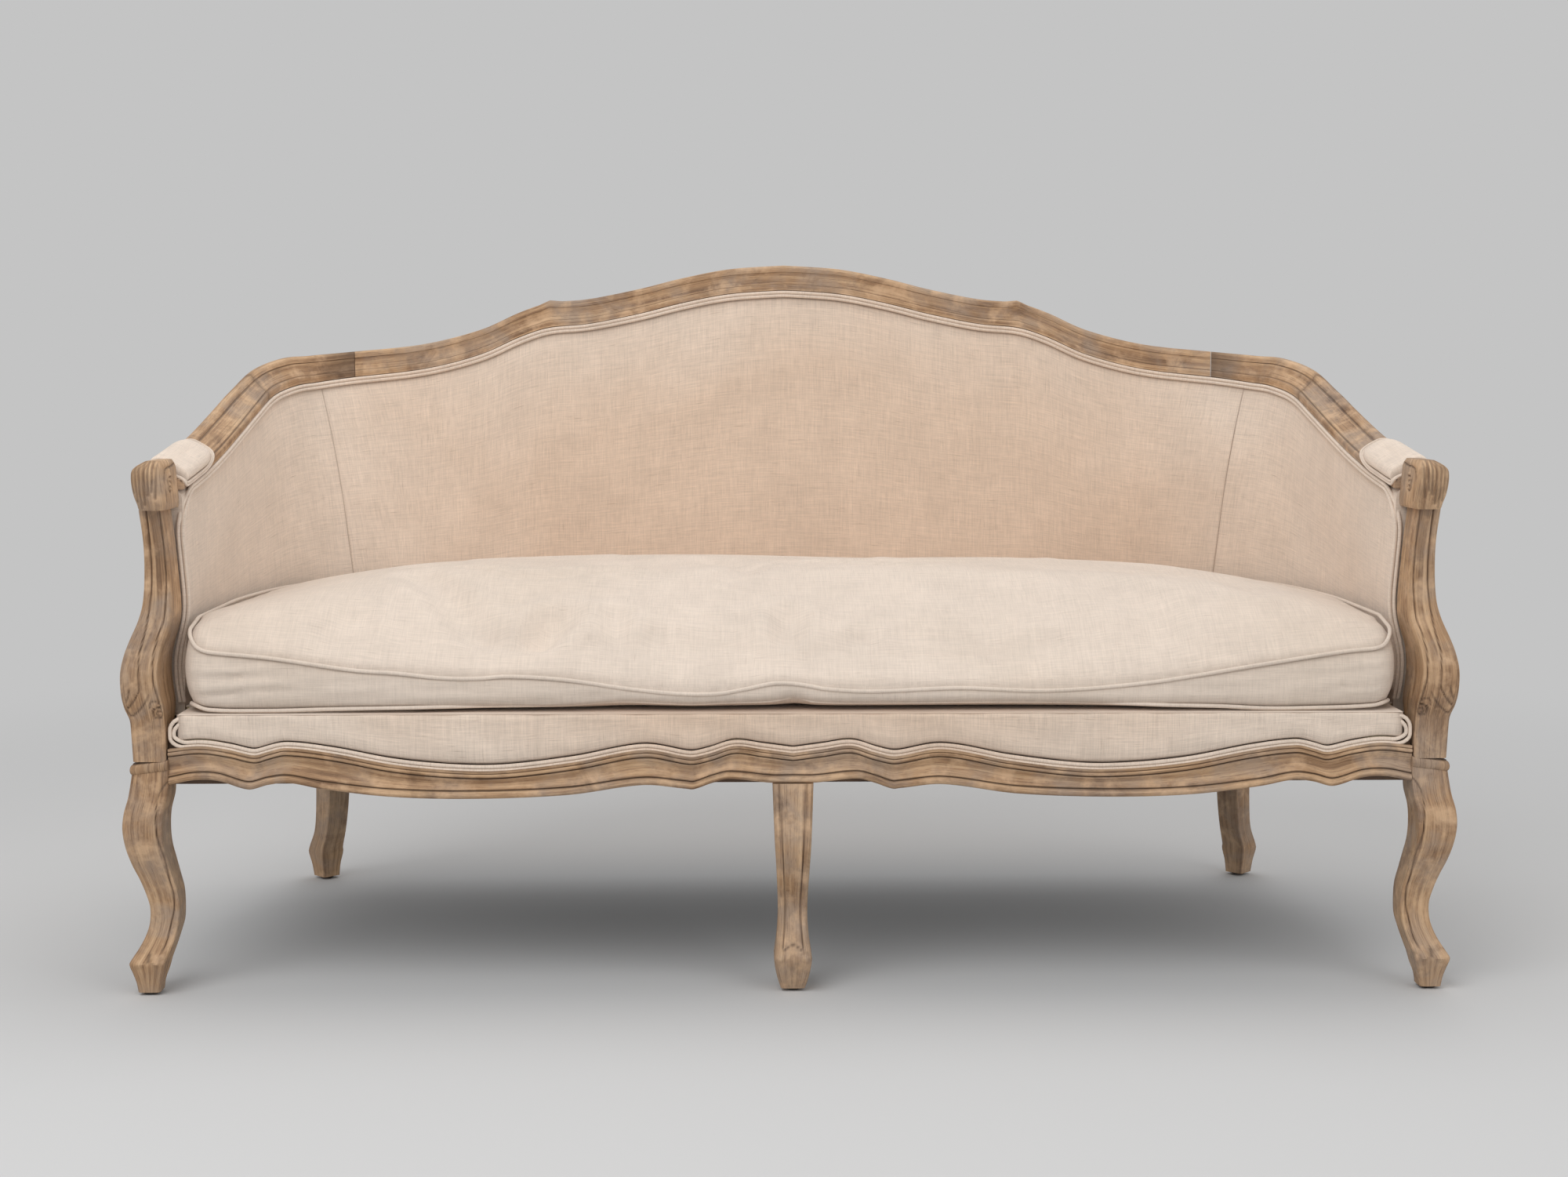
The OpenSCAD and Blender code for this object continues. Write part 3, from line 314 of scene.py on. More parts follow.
def rounded_square(x0, x1, y0, y1, radius):
    """Section of a post, from its back left corner along the left side to the front, and round."""
    r = min(radius, 0.49 * (x1 - x0), 0.49 * (y1 - y0))
    square = np.array([(x0, y1), (x0, y0), (x1, y0), (x1, y1)])
    out = []
    for a, b in zip(square, np.roll(square, -1, axis=0)):
        d = unit(b - a)
        n = np.array([d[1], -d[0]])
        out += [mix(a + d * r, b - d * r, k / SIDE_STEPS) for k in range(SIDE_STEPS)]
        middle = b - d * r - n * r
        for t in (radians(90 * k / CORNER_STEPS) for k in range(CORNER_STEPS)):
            out.append(middle + r * (n * cos(t) + d * sin(t)))
    return np.array(out)


def tube_rings(path, across, radius, sides):
    """Rings of a cord along a path, set square to a reference direction."""
    d = unit_rows(np.gradient(np.asarray(path), axis=0))
    side = unit_rows(np.cross(d, across))
    up = np.cross(side, d)
    turns = np.linspace(0, 2 * pi, sides, endpoint=False)[None, :, None]
    return np.asarray(path)[:, None] + radius * (np.cos(turns) * side[:, None] + np.sin(turns) * up[:, None])


def cord_shell(path, across, radius, sides=10):
    return shell(tube_rings(path, across, radius, sides))


def loop_shell(path, across, radius, sides=10):
    """Cord round a closed loop."""
    ahead, behind = slice(None, 3), slice(-3, None)
    wide, wide_across = (np.concatenate([v[behind], v, v[ahead]])
                         for v in (path, np.broadcast_to(across, path.shape)))
    return shell(tube_rings(wide, wide_across, radius, sides)[3:-3], loop=True)


# Carving: strokes drawn on a face raise beads or cut grooves in it

def away(points, path):
    """Distance of flat points from a path."""
    best = np.full(len(points), 1e3)
    for a, b in zip(path[:-1], path[1:]):
        ab = b - a
        t = np.clip(((points - a) @ ab) / (ab @ ab), 0, 1)
        best = np.minimum(best, norm(points - a - t[:, None] * ab, axis=1))
    return best


def stroke(path, half_w, height, painted_shade_and_stain=0.8):
    """A bead where the height is positive, a groove where it is negative; in millimetres."""
    path = (table(2, path) if isinstance(path, str) else np.asarray(path, float)) / 1000
    # Grooves carry painted shade, as much as the given share; beads carry none
    return smooth_run(path, 6 * (len(path) - 1)), half_w / 1000, height / 1000, painted_shade_and_stain if height < 0 else 0


def spiral(x, z, radius, turns, half_w, height):
    """Stroke of a volute, from its rim inwards."""
    steps = int(16 * turns)
    path = []
    for i in range(steps + 1):
        a = radians(60) + 2 * pi * turns * i / steps
        r = radius * (1 - 0.85 * i / steps)
        path.append([x + r * cos(a), z + r * sin(a)])
    return stroke(path, half_w, height)


def carve(flat, strokes):
    """Rise of a face and the painted shade in its grooves, at flat points on it."""
    rise, groove = np.zeros(len(flat)), np.zeros(len(flat))
    for path, half_w, height, painted_shade_and_stain in strokes:
        d = away(flat, path) / half_w
        bump = np.clip(1 - d * d, 0, 1)
        rise += height * (np.sqrt(bump) if height > 0 else bump)
        groove = np.maximum(groove, painted_shade_and_stain * np.clip(1.15 - d, 0, 1))
    return rise, groove


def carved_post(rings, front=(), side=()):
    """Post from level rings, carved on its front face and on its side face towards the middle."""
    rings = np.asarray(rings)
    rows, cols = rings.shape[:2]
    tangent = np.roll(rings, -1, axis=1) - np.roll(rings, 1, axis=1)
    normal = unit_rows(np.stack([tangent[..., 1], -tangent[..., 0], np.zeros((rows, cols))], axis=2), 1e-9)
    if ((rings - rings.mean(axis=1, keepdims=True)) * normal).sum() < 0:
        normal = -normal
    points, out = rings.reshape(-1, 3), normal.reshape(-1, 3)
    rise, groove = np.zeros((2, len(points)))
    for strokes, axes, facing in ((front, [0, 2], -out[:, 1]), (side, [1, 2], out[:, 0])):
        if strokes:
            weight = np.clip((facing - 0.25) / 0.4, 0, 1)
            h, g = carve(points[:, axes], strokes)
            rise += h * weight
            groove = np.maximum(groove, g * weight)
    return shell((points + out * rise[:, None]).reshape(rows, cols, 3), groove=groove)


# Finishes

class Nodes:
    """The nodes of a material or of the world, joined as they are made."""

    def __init__(self, owner):
        owner.use_nodes = True
        self.tree = owner.node_tree

    def join(self, source, target):
        if isinstance(source, bpy.types.NodeSocket):
            self.tree.links.new(source, target)
        else:
            target.default_value = source

    def node(self, kind, inputs, **settings):
        node = self.tree.nodes.new(f"ShaderNode{kind}")
        for key, value in settings.items():
            setattr(node, key, value)
        for key, value in inputs.items():
            self.join(value, node.inputs[key])
        return node

    def math(self, operation, a, b=0.0):
        return self.node("Math", {0: a, 1: b}, operation=operation).outputs[0]

    def vector(self, operation, a, b=(0, 0, 0), output=0):
        return self.node("VectorMath", {0: a, 1: b}, operation=operation).outputs[output]

    def show(self, output, seen, usual, shown):
        """Joins one shader to the output, and another where it is seen."""
        both = self.node("MixShader", {"Fac": seen, 1: usual.outputs[0], 2: shown.outputs[0]})
        self.join(both.outputs[0], self.tree.nodes[output].inputs["Surface"])


class Finish(Nodes):
    """A procedural material, built node by node, and the name of the slot it belongs to."""

    def __init__(self, name, slot=None):
        self.material = bpy.data.materials.new(name)
        super().__init__(self.material)
        self.surface = self.tree.nodes["Principled BSDF"]
        self.slot = slot or name

    def uv(self):
        return self.node("UVMap", {}, uv_map="surface").outputs["UV"]

    def place(self):
        return self.node("TexCoord", {}).outputs["Object"]

    # Point attribute of painted shade in grooves, seams and edges, with a real stain by the rail joints
    def painted_shade_and_stain(self):
        return self.node("Attribute", {}, attribute_name="groove").outputs["Fac"]

    def total(self, first, *rest):
        """Sum of values, each with its weight."""
        part = self.math("MULTIPLY", *first)
        return self.math("ADD", part, self.total(*rest)) if rest else part

    def stretch(self, vector, factors):
        return self.vector("MULTIPLY", vector, factors)

    def noise(self, vector, scale=1.0, detail=3.0, roughness=0.5, distortion=0.0):
        inputs = {"Vector": vector, "Scale": scale, "Detail": detail, "Roughness": roughness,
                  "Distortion": distortion}
        return self.node("TexNoise", inputs).outputs["Fac"]

    def between(self, value, low, high, to_low=0.0, to_high=1.0):
        inputs = {"Value": value, "From Min": low, "From Max": high, "To Min": to_low, "To Max": to_high}
        return self.node("MapRange", inputs, clamp=True).outputs["Result"]

    def blend(self, factor, a, b, mode="MIX"):
        return self.node("Mix", {0: factor, 6: a, 7: b}, data_type="RGBA", blend_type=mode).outputs[2]

    def over(self, base, tint, value, low, high, most, mode="MULTIPLY"):
        """Lays a tint over a colour as a value rises from low to high."""
        return self.blend(self.between(value, low, high, 0.0, most), base, tint, mode)

    def ramp(self, value, stops):
        node = self.node("ValToRGB", {"Fac": value})
        elements = node.color_ramp.elements
        for i, (at, shade) in enumerate(stops):
            e = elements[i] if i < 2 else elements.new(at)
            e.position, e.color = at, shade
        return node.outputs["Color"]

    def weave(self, pitch):
        """Crossing threads, so far apart."""
        turns = 2 * pi / pitch
        split = self.node("SeparateXYZ", {0: self.stretch(self.uv(), (turns, turns, 1))}).outputs
        return self.math("MULTIPLY", self.math("SINE", split[0]), self.math("SINE", split[1]))

    def finish(self, height, distance, strength, **inputs):
        """Sets the surface's inputs, and its relief from a height."""
        bump = self.node("Bump", {"Height": height, "Distance": distance, "Strength": strength})
        for key, value in (inputs | {"Normal": bump.outputs["Normal"]}).items():
            self.join(value, self.surface.inputs[key.replace("_", " ")])
        return self


def colour(*rgb):
    """Linear colour from one read in 0 to 255."""
    return tuple((c / 255) ** 2.2 for c in rgb) + (1,)


def wood(name, slot, dark, middle, light, grey, bare, grey_share, along=None):
    """Timber with its grain along the first UV axis: greyed patches, stains, painted shade in its grooves."""
    f = Finish(name, slot)
    grain = f.uv() if along is None else f.stretch(f.place(), along)
    place = f.place()
    wander = f.noise(place, 6.0, 3.0, 0.6)
    streaks = f.noise(f.stretch(grain, (4, 150, 150)), 1.0, 6.0, 0.62, 0.5)
    lines = f.noise(f.stretch(grain, (9, 520, 520)), 1.0, 4.0, 0.65, 0.2)
    pores = f.noise(f.stretch(grain, (60, 1600, 1600)), 1.0, 2.0, 0.6)
    tone = f.ramp(f.total((streaks, 0.55), (wander, 0.25), (lines, 0.20)),
                  [(0.39, dark), (0.59, light), (0.485, middle)])
    tone = f.over(tone, grey, f.noise(place, 9.0, 5.0, 0.62, 0.4), 0.46, 0.62, grey_share, "MIX")
    tone = f.over(tone, colour(104, 80, 62), lines, 0.53, 0.70, 0.62)
    tone = f.over(tone, colour(88, 72, 60), pores, 0.55, 0.70, 0.45)
    tone = f.over(tone, bare, f.noise(place, 31.0, 4.0, 0.6), 0.50, 0.68, 0.65, "MIX")
    tone = f.over(tone, colour(124, 100, 84), f.noise(place, 17.0, 5.0, 0.65, 0.6), 0.55, 0.75, 0.55)
    # Painted shade in grooves from the point attribute, which also carries a real stain by the rail joints
    tone = f.over(tone, colour(74, 57, 45), f.painted_shade_and_stain(), 0.0, 1.0, 0.9, "MIX")
    height = f.math("SUBTRACT", f.math("MULTIPLY", streaks, 0.5), f.between(pores, 0.56, 0.72, 0.0, 0.4))
    height = f.math("SUBTRACT", height, f.between(lines, 0.55, 0.74, 0.0, 0.3))
    return f.finish(height, 0.0006, 0.6, Base_Color=tone, Roughness=f.between(streaks, 0.3, 0.7, 0.58, 0.74))


def linen(name, pale, warm, depth, used=None):
    """Slubby plain weave, warmer where it is used: about a place on the back, or in patches."""
    f = Finish(name)
    uv, place = f.uv(), f.place()
    fine, middling, broad = (f.math("ADD", *(f.noise(f.stretch(uv, s), 1.0, 3.0, 0.65)
                                             for s in ((along, across, 1), (across, along, 1))))
                             for along, across in ((34, 820), (16, 430), (7, 190)))
    patches = f.noise(place, 2.4, 3.0, 0.55)
    warmth = f.between(patches, 0.45, 0.75)
    if used:
        off = f.stretch(f.vector("SUBTRACT", place, used[0]), used[1])
        far = f.vector("LENGTH", off, output="Value")
        warmth = f.between(f.math("ADD", far, patches), 1.15, 1.75, 1.0, 0.0)
    mottled = f.between(f.noise(place, 15.0, 4.0, 0.6), 0.35, 0.65, 0.955, 1.03)
    tone = f.blend(1.0, f.blend(warmth, pale, warm), mottled, "MULTIPLY")
    threads = f.total((fine, 0.24), (middling, 0.17), (broad, 0.09))
    tone = f.blend(1.0, tone, f.between(threads, 0.42, 0.58, 1 - 0.15 * depth, 1 + 0.11 * depth), "MULTIPLY")
    slubs = (f.between(f.noise(f.stretch(uv, s), 1.0, 2.0, 0.5), 0.65, 0.76, 0.0, most * depth)
             for s, most in (((30, 620, 1), 0.34), ((620, 30, 1), 0.25)))
    tone = f.blend(f.math("MAXIMUM", *slubs), tone, colour(150, 118, 94), "MULTIPLY")
    # Painted shade along seams, creases and edges, from the point attribute
    tone = f.over(tone, colour(96, 72, 56), f.painted_shade_and_stain(), 0.0, 1.0, 0.85)
    return f.finish(f.math("ADD", f.math("MULTIPLY", f.weave(0.0009), 0.3), fine), 0.0004, 0.45,
                    Base_Color=tone, Roughness=0.92, Sheen_Weight=0.2, Sheen_Roughness=0.5)


def plain_weave(name, light, dark, pitch, depth):
    """Coarse cloth or strap of crossing threads."""
    f = Finish(name)
    weave, uneven = f.weave(pitch), f.noise(f.place(), 60.0, 3.0)
    tone = f.ramp(f.math("ADD", f.math("MULTIPLY", weave, 0.35), uneven), [(0.2, dark), (0.8, light)])
    return f.finish(f.math("ADD", weave, uneven), depth, 0.7, Base_Color=tone, Roughness=0.95)


def foamy(name, light, dark):
    f = Finish(name)
    cells = f.node("TexVoronoi", {"Vector": f.place(), "Scale": 620.0}).outputs["Distance"]
    tone = f.ramp(f.noise(f.place(), 14.0, 3.0), [(0.35, dark), (0.65, light)])
    return f.finish(cells, 0.0006, 0.8, Base_Color=tone, Roughness=1.0)


def metal(name, shade, roughness, metallic=1.0):
    f = Finish(name)
    drawn = f.noise(f.stretch(f.place(), (900, 900, 90)), 1.0, 3.0)
    worn = f.over(shade, colour(96, 82, 70), f.noise(f.place(), 40.0, 4.0, 0.65), 0.52, 0.75, 0.5, "MIX")
    return f.finish(drawn, 0.0002, 0.4, Base_Color=worn, Metallic=metallic,
                    Roughness=f.between(drawn, 0.3, 0.7, roughness, roughness + 0.2))


OAK = wood("weathered_oak", "weathered_oak", colour(124, 94, 69), colour(174, 138, 104),
           colour(210, 175, 138), colour(166, 146, 129), colour(214, 178, 142), 0.7)
# Darker oak for the batten, as painted shade: it stands in shadow behind the front rail
BATTEN_SHADE_OAK = wood("shade_darkened_oak", "weathered_oak", colour(62, 44, 32), colour(86, 64, 47),
                  colour(108, 84, 64), colour(84, 70, 60), colour(112, 88, 66), 0.5)
PINE = wood("frame_pine", "frame_pine", colour(170, 132, 84), colour(206, 170, 118),
            colour(224, 192, 144), colour(220, 196, 156), colour(226, 196, 150), 0.3, along=(0.3, 1, 1))
BACK_LINEN = linen("frame_linen", colour(229, 211, 194), colour(219, 194, 172), 1.0,
                   ((0.03, 0.4, 0.62), (1.5, 0.2, 3.0)))
SEAT_LINEN = linen("cushion_linen", colour(222, 206, 191), colour(216, 199, 182), 0.72)
JUTE = plain_weave("jute", colour(196, 166, 118), colour(140, 108, 68), 0.004, 0.0008)
CAMBRIC = plain_weave("black_cambric", colour(52, 52, 56), colour(26, 26, 30), 0.0012, 0.0003)
TICKING = plain_weave("feather_ticking", colour(244, 242, 236), colour(220, 216, 206), 0.0008, 0.0002)
FOAM = foamy("foam", colour(240, 228, 190), colour(222, 204, 158))
STEEL = metal("steel", colour(150, 150, 152), 0.35)
GLIDE = metal("glide_plastic", colour(60, 58, 56), 0.5, 0.0)


# Show wood along the arms and the back

# Section of the rail with its face upright and lying, in shares of its thickness and height
UPRIGHT_SHARES = table(2, """0 0  -.08 .07  -.08 .22  .04 .28  .10 .48  .07 .70
    .03 .76  .05 .93  .22 1  .84 .96  1 .75  .95 0""")
LYING_SHARES = table(2, """0 0  -.08 .07  -.08 .22  .05 .32  .32 .40  .58 .51
    .80 .66  .97 .76  1.16 .73  1.20 .56  1.10 .02  .90 0""")
RAIL_STEP = 1 / 640
SECTION_PER = 6
# Middle and half width of the two grooves that part the beads and the cove, in control points
RAIL_GROOVES = ((2.75, 0.26), (5.60, 0.24))
# Depth of those grooves and the painted shade in them
GROOVE_DEPTH, GROOVE_PAINTED_SHADE = 0.0019, 0.95
AROUND = np.arange(len(UPRIGHT_SHARES) * SECTION_PER) / SECTION_PER
IN_GROOVE = np.maximum(*(np.clip(1 - np.abs(AROUND - at) / half_w, 0, 1) for at, half_w in RAIL_GROOVES))
SHOULDER_U, SHOULDER_RISE, SHOULDER_REACH = 13 / 36, 0.004, 0.011


def shoulder(u):
    """Peak in the crest where its two curves are mitred together."""
    return SHOULDER_RISE * max(0, 1 - min(abs(u - SHOULDER_U), abs(1 - u - SHOULDER_U)) / SHOULDER_REACH) ** 1.5


def rail_ring(u):
    row = arm_back(u)
    flat = closed_smooth(mix(UPRIGHT_SHARES, LYING_SHARES, row[5]), SECTION_PER) * [RAIL_T, RAIL_H * row[6]]
    tangent = np.roll(flat, -1, axis=0) - np.roll(flat, 1, axis=0)
    normal = unit_rows(tangent[:, ::-1] * [-1, 1])
    outer = np.sign((normal * (flat - flat.mean(0))).sum())
    flat = flat - normal * GROOVE_DEPTH * IN_GROOVE[:, None] * outer
    up = flat[:, 1] + shoulder(u) * np.clip(flat[:, 1] / RAIL_H, 0, 1) ** 0.7
    return rail_edge(u) + flat[:, :1] * outward(u, top_z(u)) + up[:, None] * [0, 0, 1]


def rail_shell(u0, u1, stain=lambda u: 0):
    us = run(u0, u1, RAIL_STEP)
    # Painted shade in the grooves, and a real stain by the joints
    painted_shade_and_stain = np.array([np.maximum(GROOVE_PAINTED_SHADE * IN_GROOVE, stain(u)) for u in us])
    return shell([rail_ring(u) for u in us], groove=painted_shade_and_stain)


def joint_stain(u):
    """Dark stain that ran along the corner piece from its joint with the top rail."""
    return 0.75 * max(0, 1 - (JOINT_SHARE - u) / 0.022) ** 0.7 + 0.5 * max(0, 1 - abs(u - SCARF_SHARE) / 0.003)


# Legs and carved posts

# Heights, outward reach and inward reach of a corner leg, in hundredths of its height and block
CORNER_LEG_SHARES = table(3, """0 48 12  4.5 52 16  9 59 25  13.5 66 32  15.5 60 36  20 43 45  25 28.5 54
    30 20 61.5  37 18 63.5  44 26.5 62  51 39 54.5  58 54 46.5  66 66.5 38  74 72 36  81 68.5 39
    88 58 48  94 52 50  100 47 50""") / 100
# Heights, half width, forward reach and backward reach of the middle leg
MIDDLE_LEG_SHARES = table(4, """0 30 36 26  7 40 50 36  15 46.5 62 32  17.5 45 58 34  24 40 30 46
    33 36.5 6 64  43 37 10 66  56 40 42 52  70 44 64 44  84 47 58 44  100 50 44 44""") / 100
# Heights, sideways shift, backward shift and half diagonal of a back leg
BACK_LEG_SHARES = table(4, """0 46 74 44  7 48 78 50  14 48 76 60  17 46 72 58
    28 26 44 54  45 12 18 56  65 6 6 58  100 0 0 58""") / 100
# Heights, outward, inward, forward and backward reach of an arm stump
STUMP_SHARES = table(5, """0 43 46 50 50  12 46 46 52 50  17 48 46 56 70  22 60 44 62 90  28 66 37 68 98
    36 65.5 34 70 98  43 56 40 62 98  49 42 52 50 98  56 24 64 32 98  63 13 65 20 98  74 9 60 10 98
    87 9 53 12 98  100 16 44 22 98""") / 100
# Height, outward reach and inward reach of the knuckle, and how far its front leans back
KNUCKLE_SHARES = table(4, """0 6 60 16  4 8 62 13  12 10 63 10  30 17 62 5  50 21 60 1  70 22 58 0
    82 19 57 2  91 8 54 10  100 -10 46 30""") / 100
MIDDLE_LEG_W, BACK_LEG_W = 0.056, 0.050
MIDDLE_LEG_Y = (BATTEN_FRONT_Y + BATTEN_BACK_Y) / 2
BACK_LEG_X, BACK_LEG_Y = 0.822 * HALF_W, -SOFA_D / 2 + 0.878 * SOFA_D
FOOT_Z, LEG_TOP_Z = GLIDE_T + GAP, RAIL_LOW_Z - GAP
RING_LOW_Z, RING_H, RING_LAP, RING_SLOPE = 0.312, 0.012, 0.0045, 0.13
RING_REACH, RING_BULGE = 0.455 * LEG_BLOCK, 0.0036
KNUCKLE_FRONT_Y = PANEL_FRONT_Y - 0.088
KNUCKLE_LOW_Z, KNUCKLE_H = STUMP_HIGH_Z + GAP, 0.066
FLUTE_COUNT = 7

# Carving on the left leg, stump and knuckle: places across and up in millimetres, half width, height, and
# painted shade in a groove where given
LEG_STROKES = [stroke(*row) for row in (
    ("""-840 296 -850 283 -855.5 268 -857 258 -857 230 -854 206 -849 181 -845 157 -842 136 -843 114
     -848 93 -853 70 -859 57""", 4.8, 2.6),
    ("""-842 301 -853.5 290.4 -860 278 -862.5 262 -862.5 233 -858.5 211 -853.5 188 -850.5 160
     -847.5 140 -848 119 -852.5 97 -857.5 73 -863 61""", 1.5, -1.7),
    ("-872 50 -870 54 -866 52 -869 47", 4.2, 3.2), ("-893 45 -888 47", 4.2, 2.2),
    ("-880 49 -879 58", 3.0, -1.4))]
STUMP_STROKES = [stroke(*row) for row in (
    ("""-870 668 -867 599 -867 558 -871 518 -874 498 -877 483 -880 468 -880.5 437 -881 422 -891 405
     -898 398""", 1.5, -2.2),
    ("""-852 668 -848 599 -847 558 -849 518 -855 498 -858 483 -861 468 -861 437 -858 422 -854 406
     -851 396""", 1.4, -1.9),
    ("-843 560 -845 518 -850 498 -854 483 -856 468 -856.5 437 -855 422 -852 410", 3.4, 2.0),
    ("""-861 668 -858 599 -857 558 -860 518 -864.5 498 -867.5 483 -870.5 468 -871 437
     -870 420""", 6.0, -1.6, 0.12),
    ("-856 391 -855 392", 5.0, 1.6), ("-868 398 -866 406 -861 409 -855 405", 1.3, -1.4),
    ("-848 380 -841 383", 1.4, -1.8), ("-899 396 -893 388 -886 392 -874 405 -868 416", 1.5, -1.8),
    ("-893 424 -895 415 -898 409", 1.7, -2.0), ("-892 452 -893 430 -895 410", 9.0, 2.0))]
STUMP_STROKES[4:4] = [spiral(-856, 391, 9.0, 1.6, 1.4, -2.4), spiral(-856, 391, 11.5, 1.0, 1.8, 1.6)]
KNUCKLE_SIDE_STROKES = [
    spiral(-332, 697, 12.0, 1.7, 1.7, -2.4), spiral(-332, 697, 15.5, 0.8, 2.2, 1.2),
    stroke("-356 676 -360 700 -356 714 -344 720 -318 722 -296 725", 1.6, -1.8),
    stroke("-366 676 -370 704 -362 722 -340 727 -300 730", 4.2, 1.4)]


def level(flat, z):
    return np.column_stack([flat, np.full(len(flat), z)])


def post_ring(x, y, out, inward, front, back, z, radius=0.005):
    return level(rounded_square(x - out, x + inward, y - front, y + back, radius), z)


def shares_at(rows, share):
    return [table_value(rows[:, [0, k]], share) for k in range(1, rows.shape[1])]


def up_post(rows, low, high, scale, step=0.0028):
    """Heights up a post, each with the reaches that its table gives there."""
    for z in np.linspace(low, high, max(3, round((high - low) / step)) + 1):
        yield z, *(v * scale for v in shares_at(rows, (z - low) / (high - low)))


def corner_leg():
    return carved_post([post_ring(-LEG_X, LEG_Y, out, inward, out, inward, z) for z, out, inward
                        in up_post(CORNER_LEG_SHARES, FOOT_Z, RING_LOW_Z, LEG_BLOCK)], LEG_STROKES)


def ring_moulding():
    """Roll with a fillet on each side between the leg and the arm stump, rising towards the rail."""
    rings, painted_shade_and_stain = [], []
    for f in np.linspace(0, 1, 29):
        bulge = RING_BULGE * sqrt(max(0, 1 - ((f - 0.5) / 0.43) ** 2))
        grown = RING_REACH + bulge
        ring = post_ring(-LEG_X, LEG_Y, grown, LEG_BLOCK / 2, grown, RING_REACH,
                         mix(RING_LOW_Z - RING_LAP, RING_LOW_Z + RING_H, f))
        ring[:, 2] += RING_SLOPE * (ring[:, 0] + LEG_X)
        rings.append(ring)
        # Painted shade on the fillets above and below the roll
        painted_shade_and_stain.append([max(0.15, 1 - bulge / 0.0022)] * len(ring))
    return shell(rings, groove=np.array(painted_shade_and_stain))


def middle_leg():
    """Leg with a bead down both edges, each ending in a scroll over the foot, and a ridge between."""
    strokes = []
    for side in (-1, 1):
        edge = [(side * 1000 * (shares_at(MIDDLE_LEG_SHARES, t)[0] * MIDDLE_LEG_W - 0.0055),
                 1000 * mix(FOOT_Z, LEG_TOP_Z, t)) for t in np.linspace(0.20, 1.0, 9)]
        scroll = [(side * x, z) for x, z in ((15, 52), (18, 56), (20, 52), (17, 48))]
        strokes += [stroke(edge, 3.0, 1.6), stroke([(x - side * 4.5, z) for x, z in edge], 1.4, -1.5),
                    stroke(scroll, 4.0, 2.6)]
    strokes += [stroke("-12 60 0 66 12 60", 1.4, -1.4), stroke("0 62 0 40", 3.0, 1.6)]
    return carved_post([post_ring(0, MIDDLE_LEG_Y, half, half, front, back, z) for z, half, front, back
                        in up_post(MIDDLE_LEG_SHARES, FOOT_Z, LEG_TOP_Z, MIDDLE_LEG_W)], strokes)


def back_leg():
    """Back leg, set cornerwise under the curve of the seat rail."""
    rings = []
    for z, aside, behind, half in up_post(BACK_LEG_SHARES, FOOT_Z, LEG_TOP_Z, BACK_LEG_W, 0.006):
        side = half / sqrt(2)
        turned = rounded_square(-side, side, -side, side, 0.0025) @ [[1, 1], [-1, 1]] / sqrt(2)
        rings.append(level(turned + [-BACK_LEG_X - aside, BACK_LEG_Y + behind], z))
    return shell(rings)


def arm_stump():
    return carved_post([post_ring(-LEG_X, LEG_Y, *reach, z) for z, *reach
                        in up_post(STUMP_SHARES, STUMP_LOW_Z, STUMP_HIGH_Z, LEG_BLOCK)], STUMP_STROKES)


def knuckle():
    """Scrolled end of the armrest: worn flutes round its front, a scroll on its inner face."""
    rings, flutes = [], []
    for share in np.linspace(0, 1, 44):
        out, inward, lean = (s * LEG_BLOCK for s in shares_at(KNUCKLE_SHARES, share))
        rings.append(post_ring(-LEG_X, 0, out, inward, -KNUCKLE_FRONT_Y - lean, PANEL_FRONT_Y + 0.004,
                               KNUCKLE_LOW_Z + share * KNUCKLE_H, 0.007))
    low, high = 1000 * KNUCKLE_LOW_Z + 3, 1000 * (KNUCKLE_LOW_Z + KNUCKLE_H) + 2
    for k, x in enumerate(np.linspace(-1000 * LEG_X - 10, -1000 * LEG_X + 24, FLUTE_COUNT)):
        lean = 2.5 * (1 - 2 * k / (FLUTE_COUNT - 1))
        start = mix(low, high, 0.35 * (0.5 + 0.5 * sin(5.1 * k + 1)))
        # Each flute carries painted shade
        flutes.append(stroke([(x + lean, start), (x, (start + high) / 2), (x - 0.4 * lean, high)],
                             2.3, -1.2 - 0.5 * sin(2.4 * k), 0.6))
    return carved_post(rings, flutes, KNUCKLE_SIDE_STROKES)


# Seat rails

# Lower edge of the front rail and of the border over it: thousandths of the way to its end and
# hundredths of the face's height
RAIL_EDGE_SHARES = table(2, """0 55  35 55  102 69  130 55  160 32  172 34  241 48  362 13  514 0  644 8
    755 37  810 60  842 53  868 37  882 40  922 68  960 71  1000 54""") / [1000, 100]
BORDER_EDGE_SHARES = table(2, """0 155  50 170  94 182  130 158  158 143  172 144  240 168  350 125
    466 95  550 97  642 118  740 160  812 179  840 166  858 154  870 155  905 174  950 187
    1000 176""") / [1000, 100]
FACE_H, FACE_T = 0.038, FACE_BACK_Y - FACE_Y
# Across the face from its lower edge: up from the lower edge or down from the upper edge and depth
# behind the face's front, in ten thousandths of a metre, and tenths of full painted shade in the grooves
FACE_SCALE = [10000, 10000, 10]
FACE_LOW = table(3, """0 40 0  12 16 0  35 2 0  60 2 0  85 16 0  100 36 5  108 52 10  116 36 6
    130 30 0""") / FACE_SCALE
FACE_HIGH = table(3, """125 34 0  112 36 6  104 52 10  96 36 4  85 18 0  68 12 0  50 18 0  42 36 8
    32 24 2  0 24 2""") / FACE_SCALE
COVE_DEPTH, COVE_STEPS = 0.0045, 8
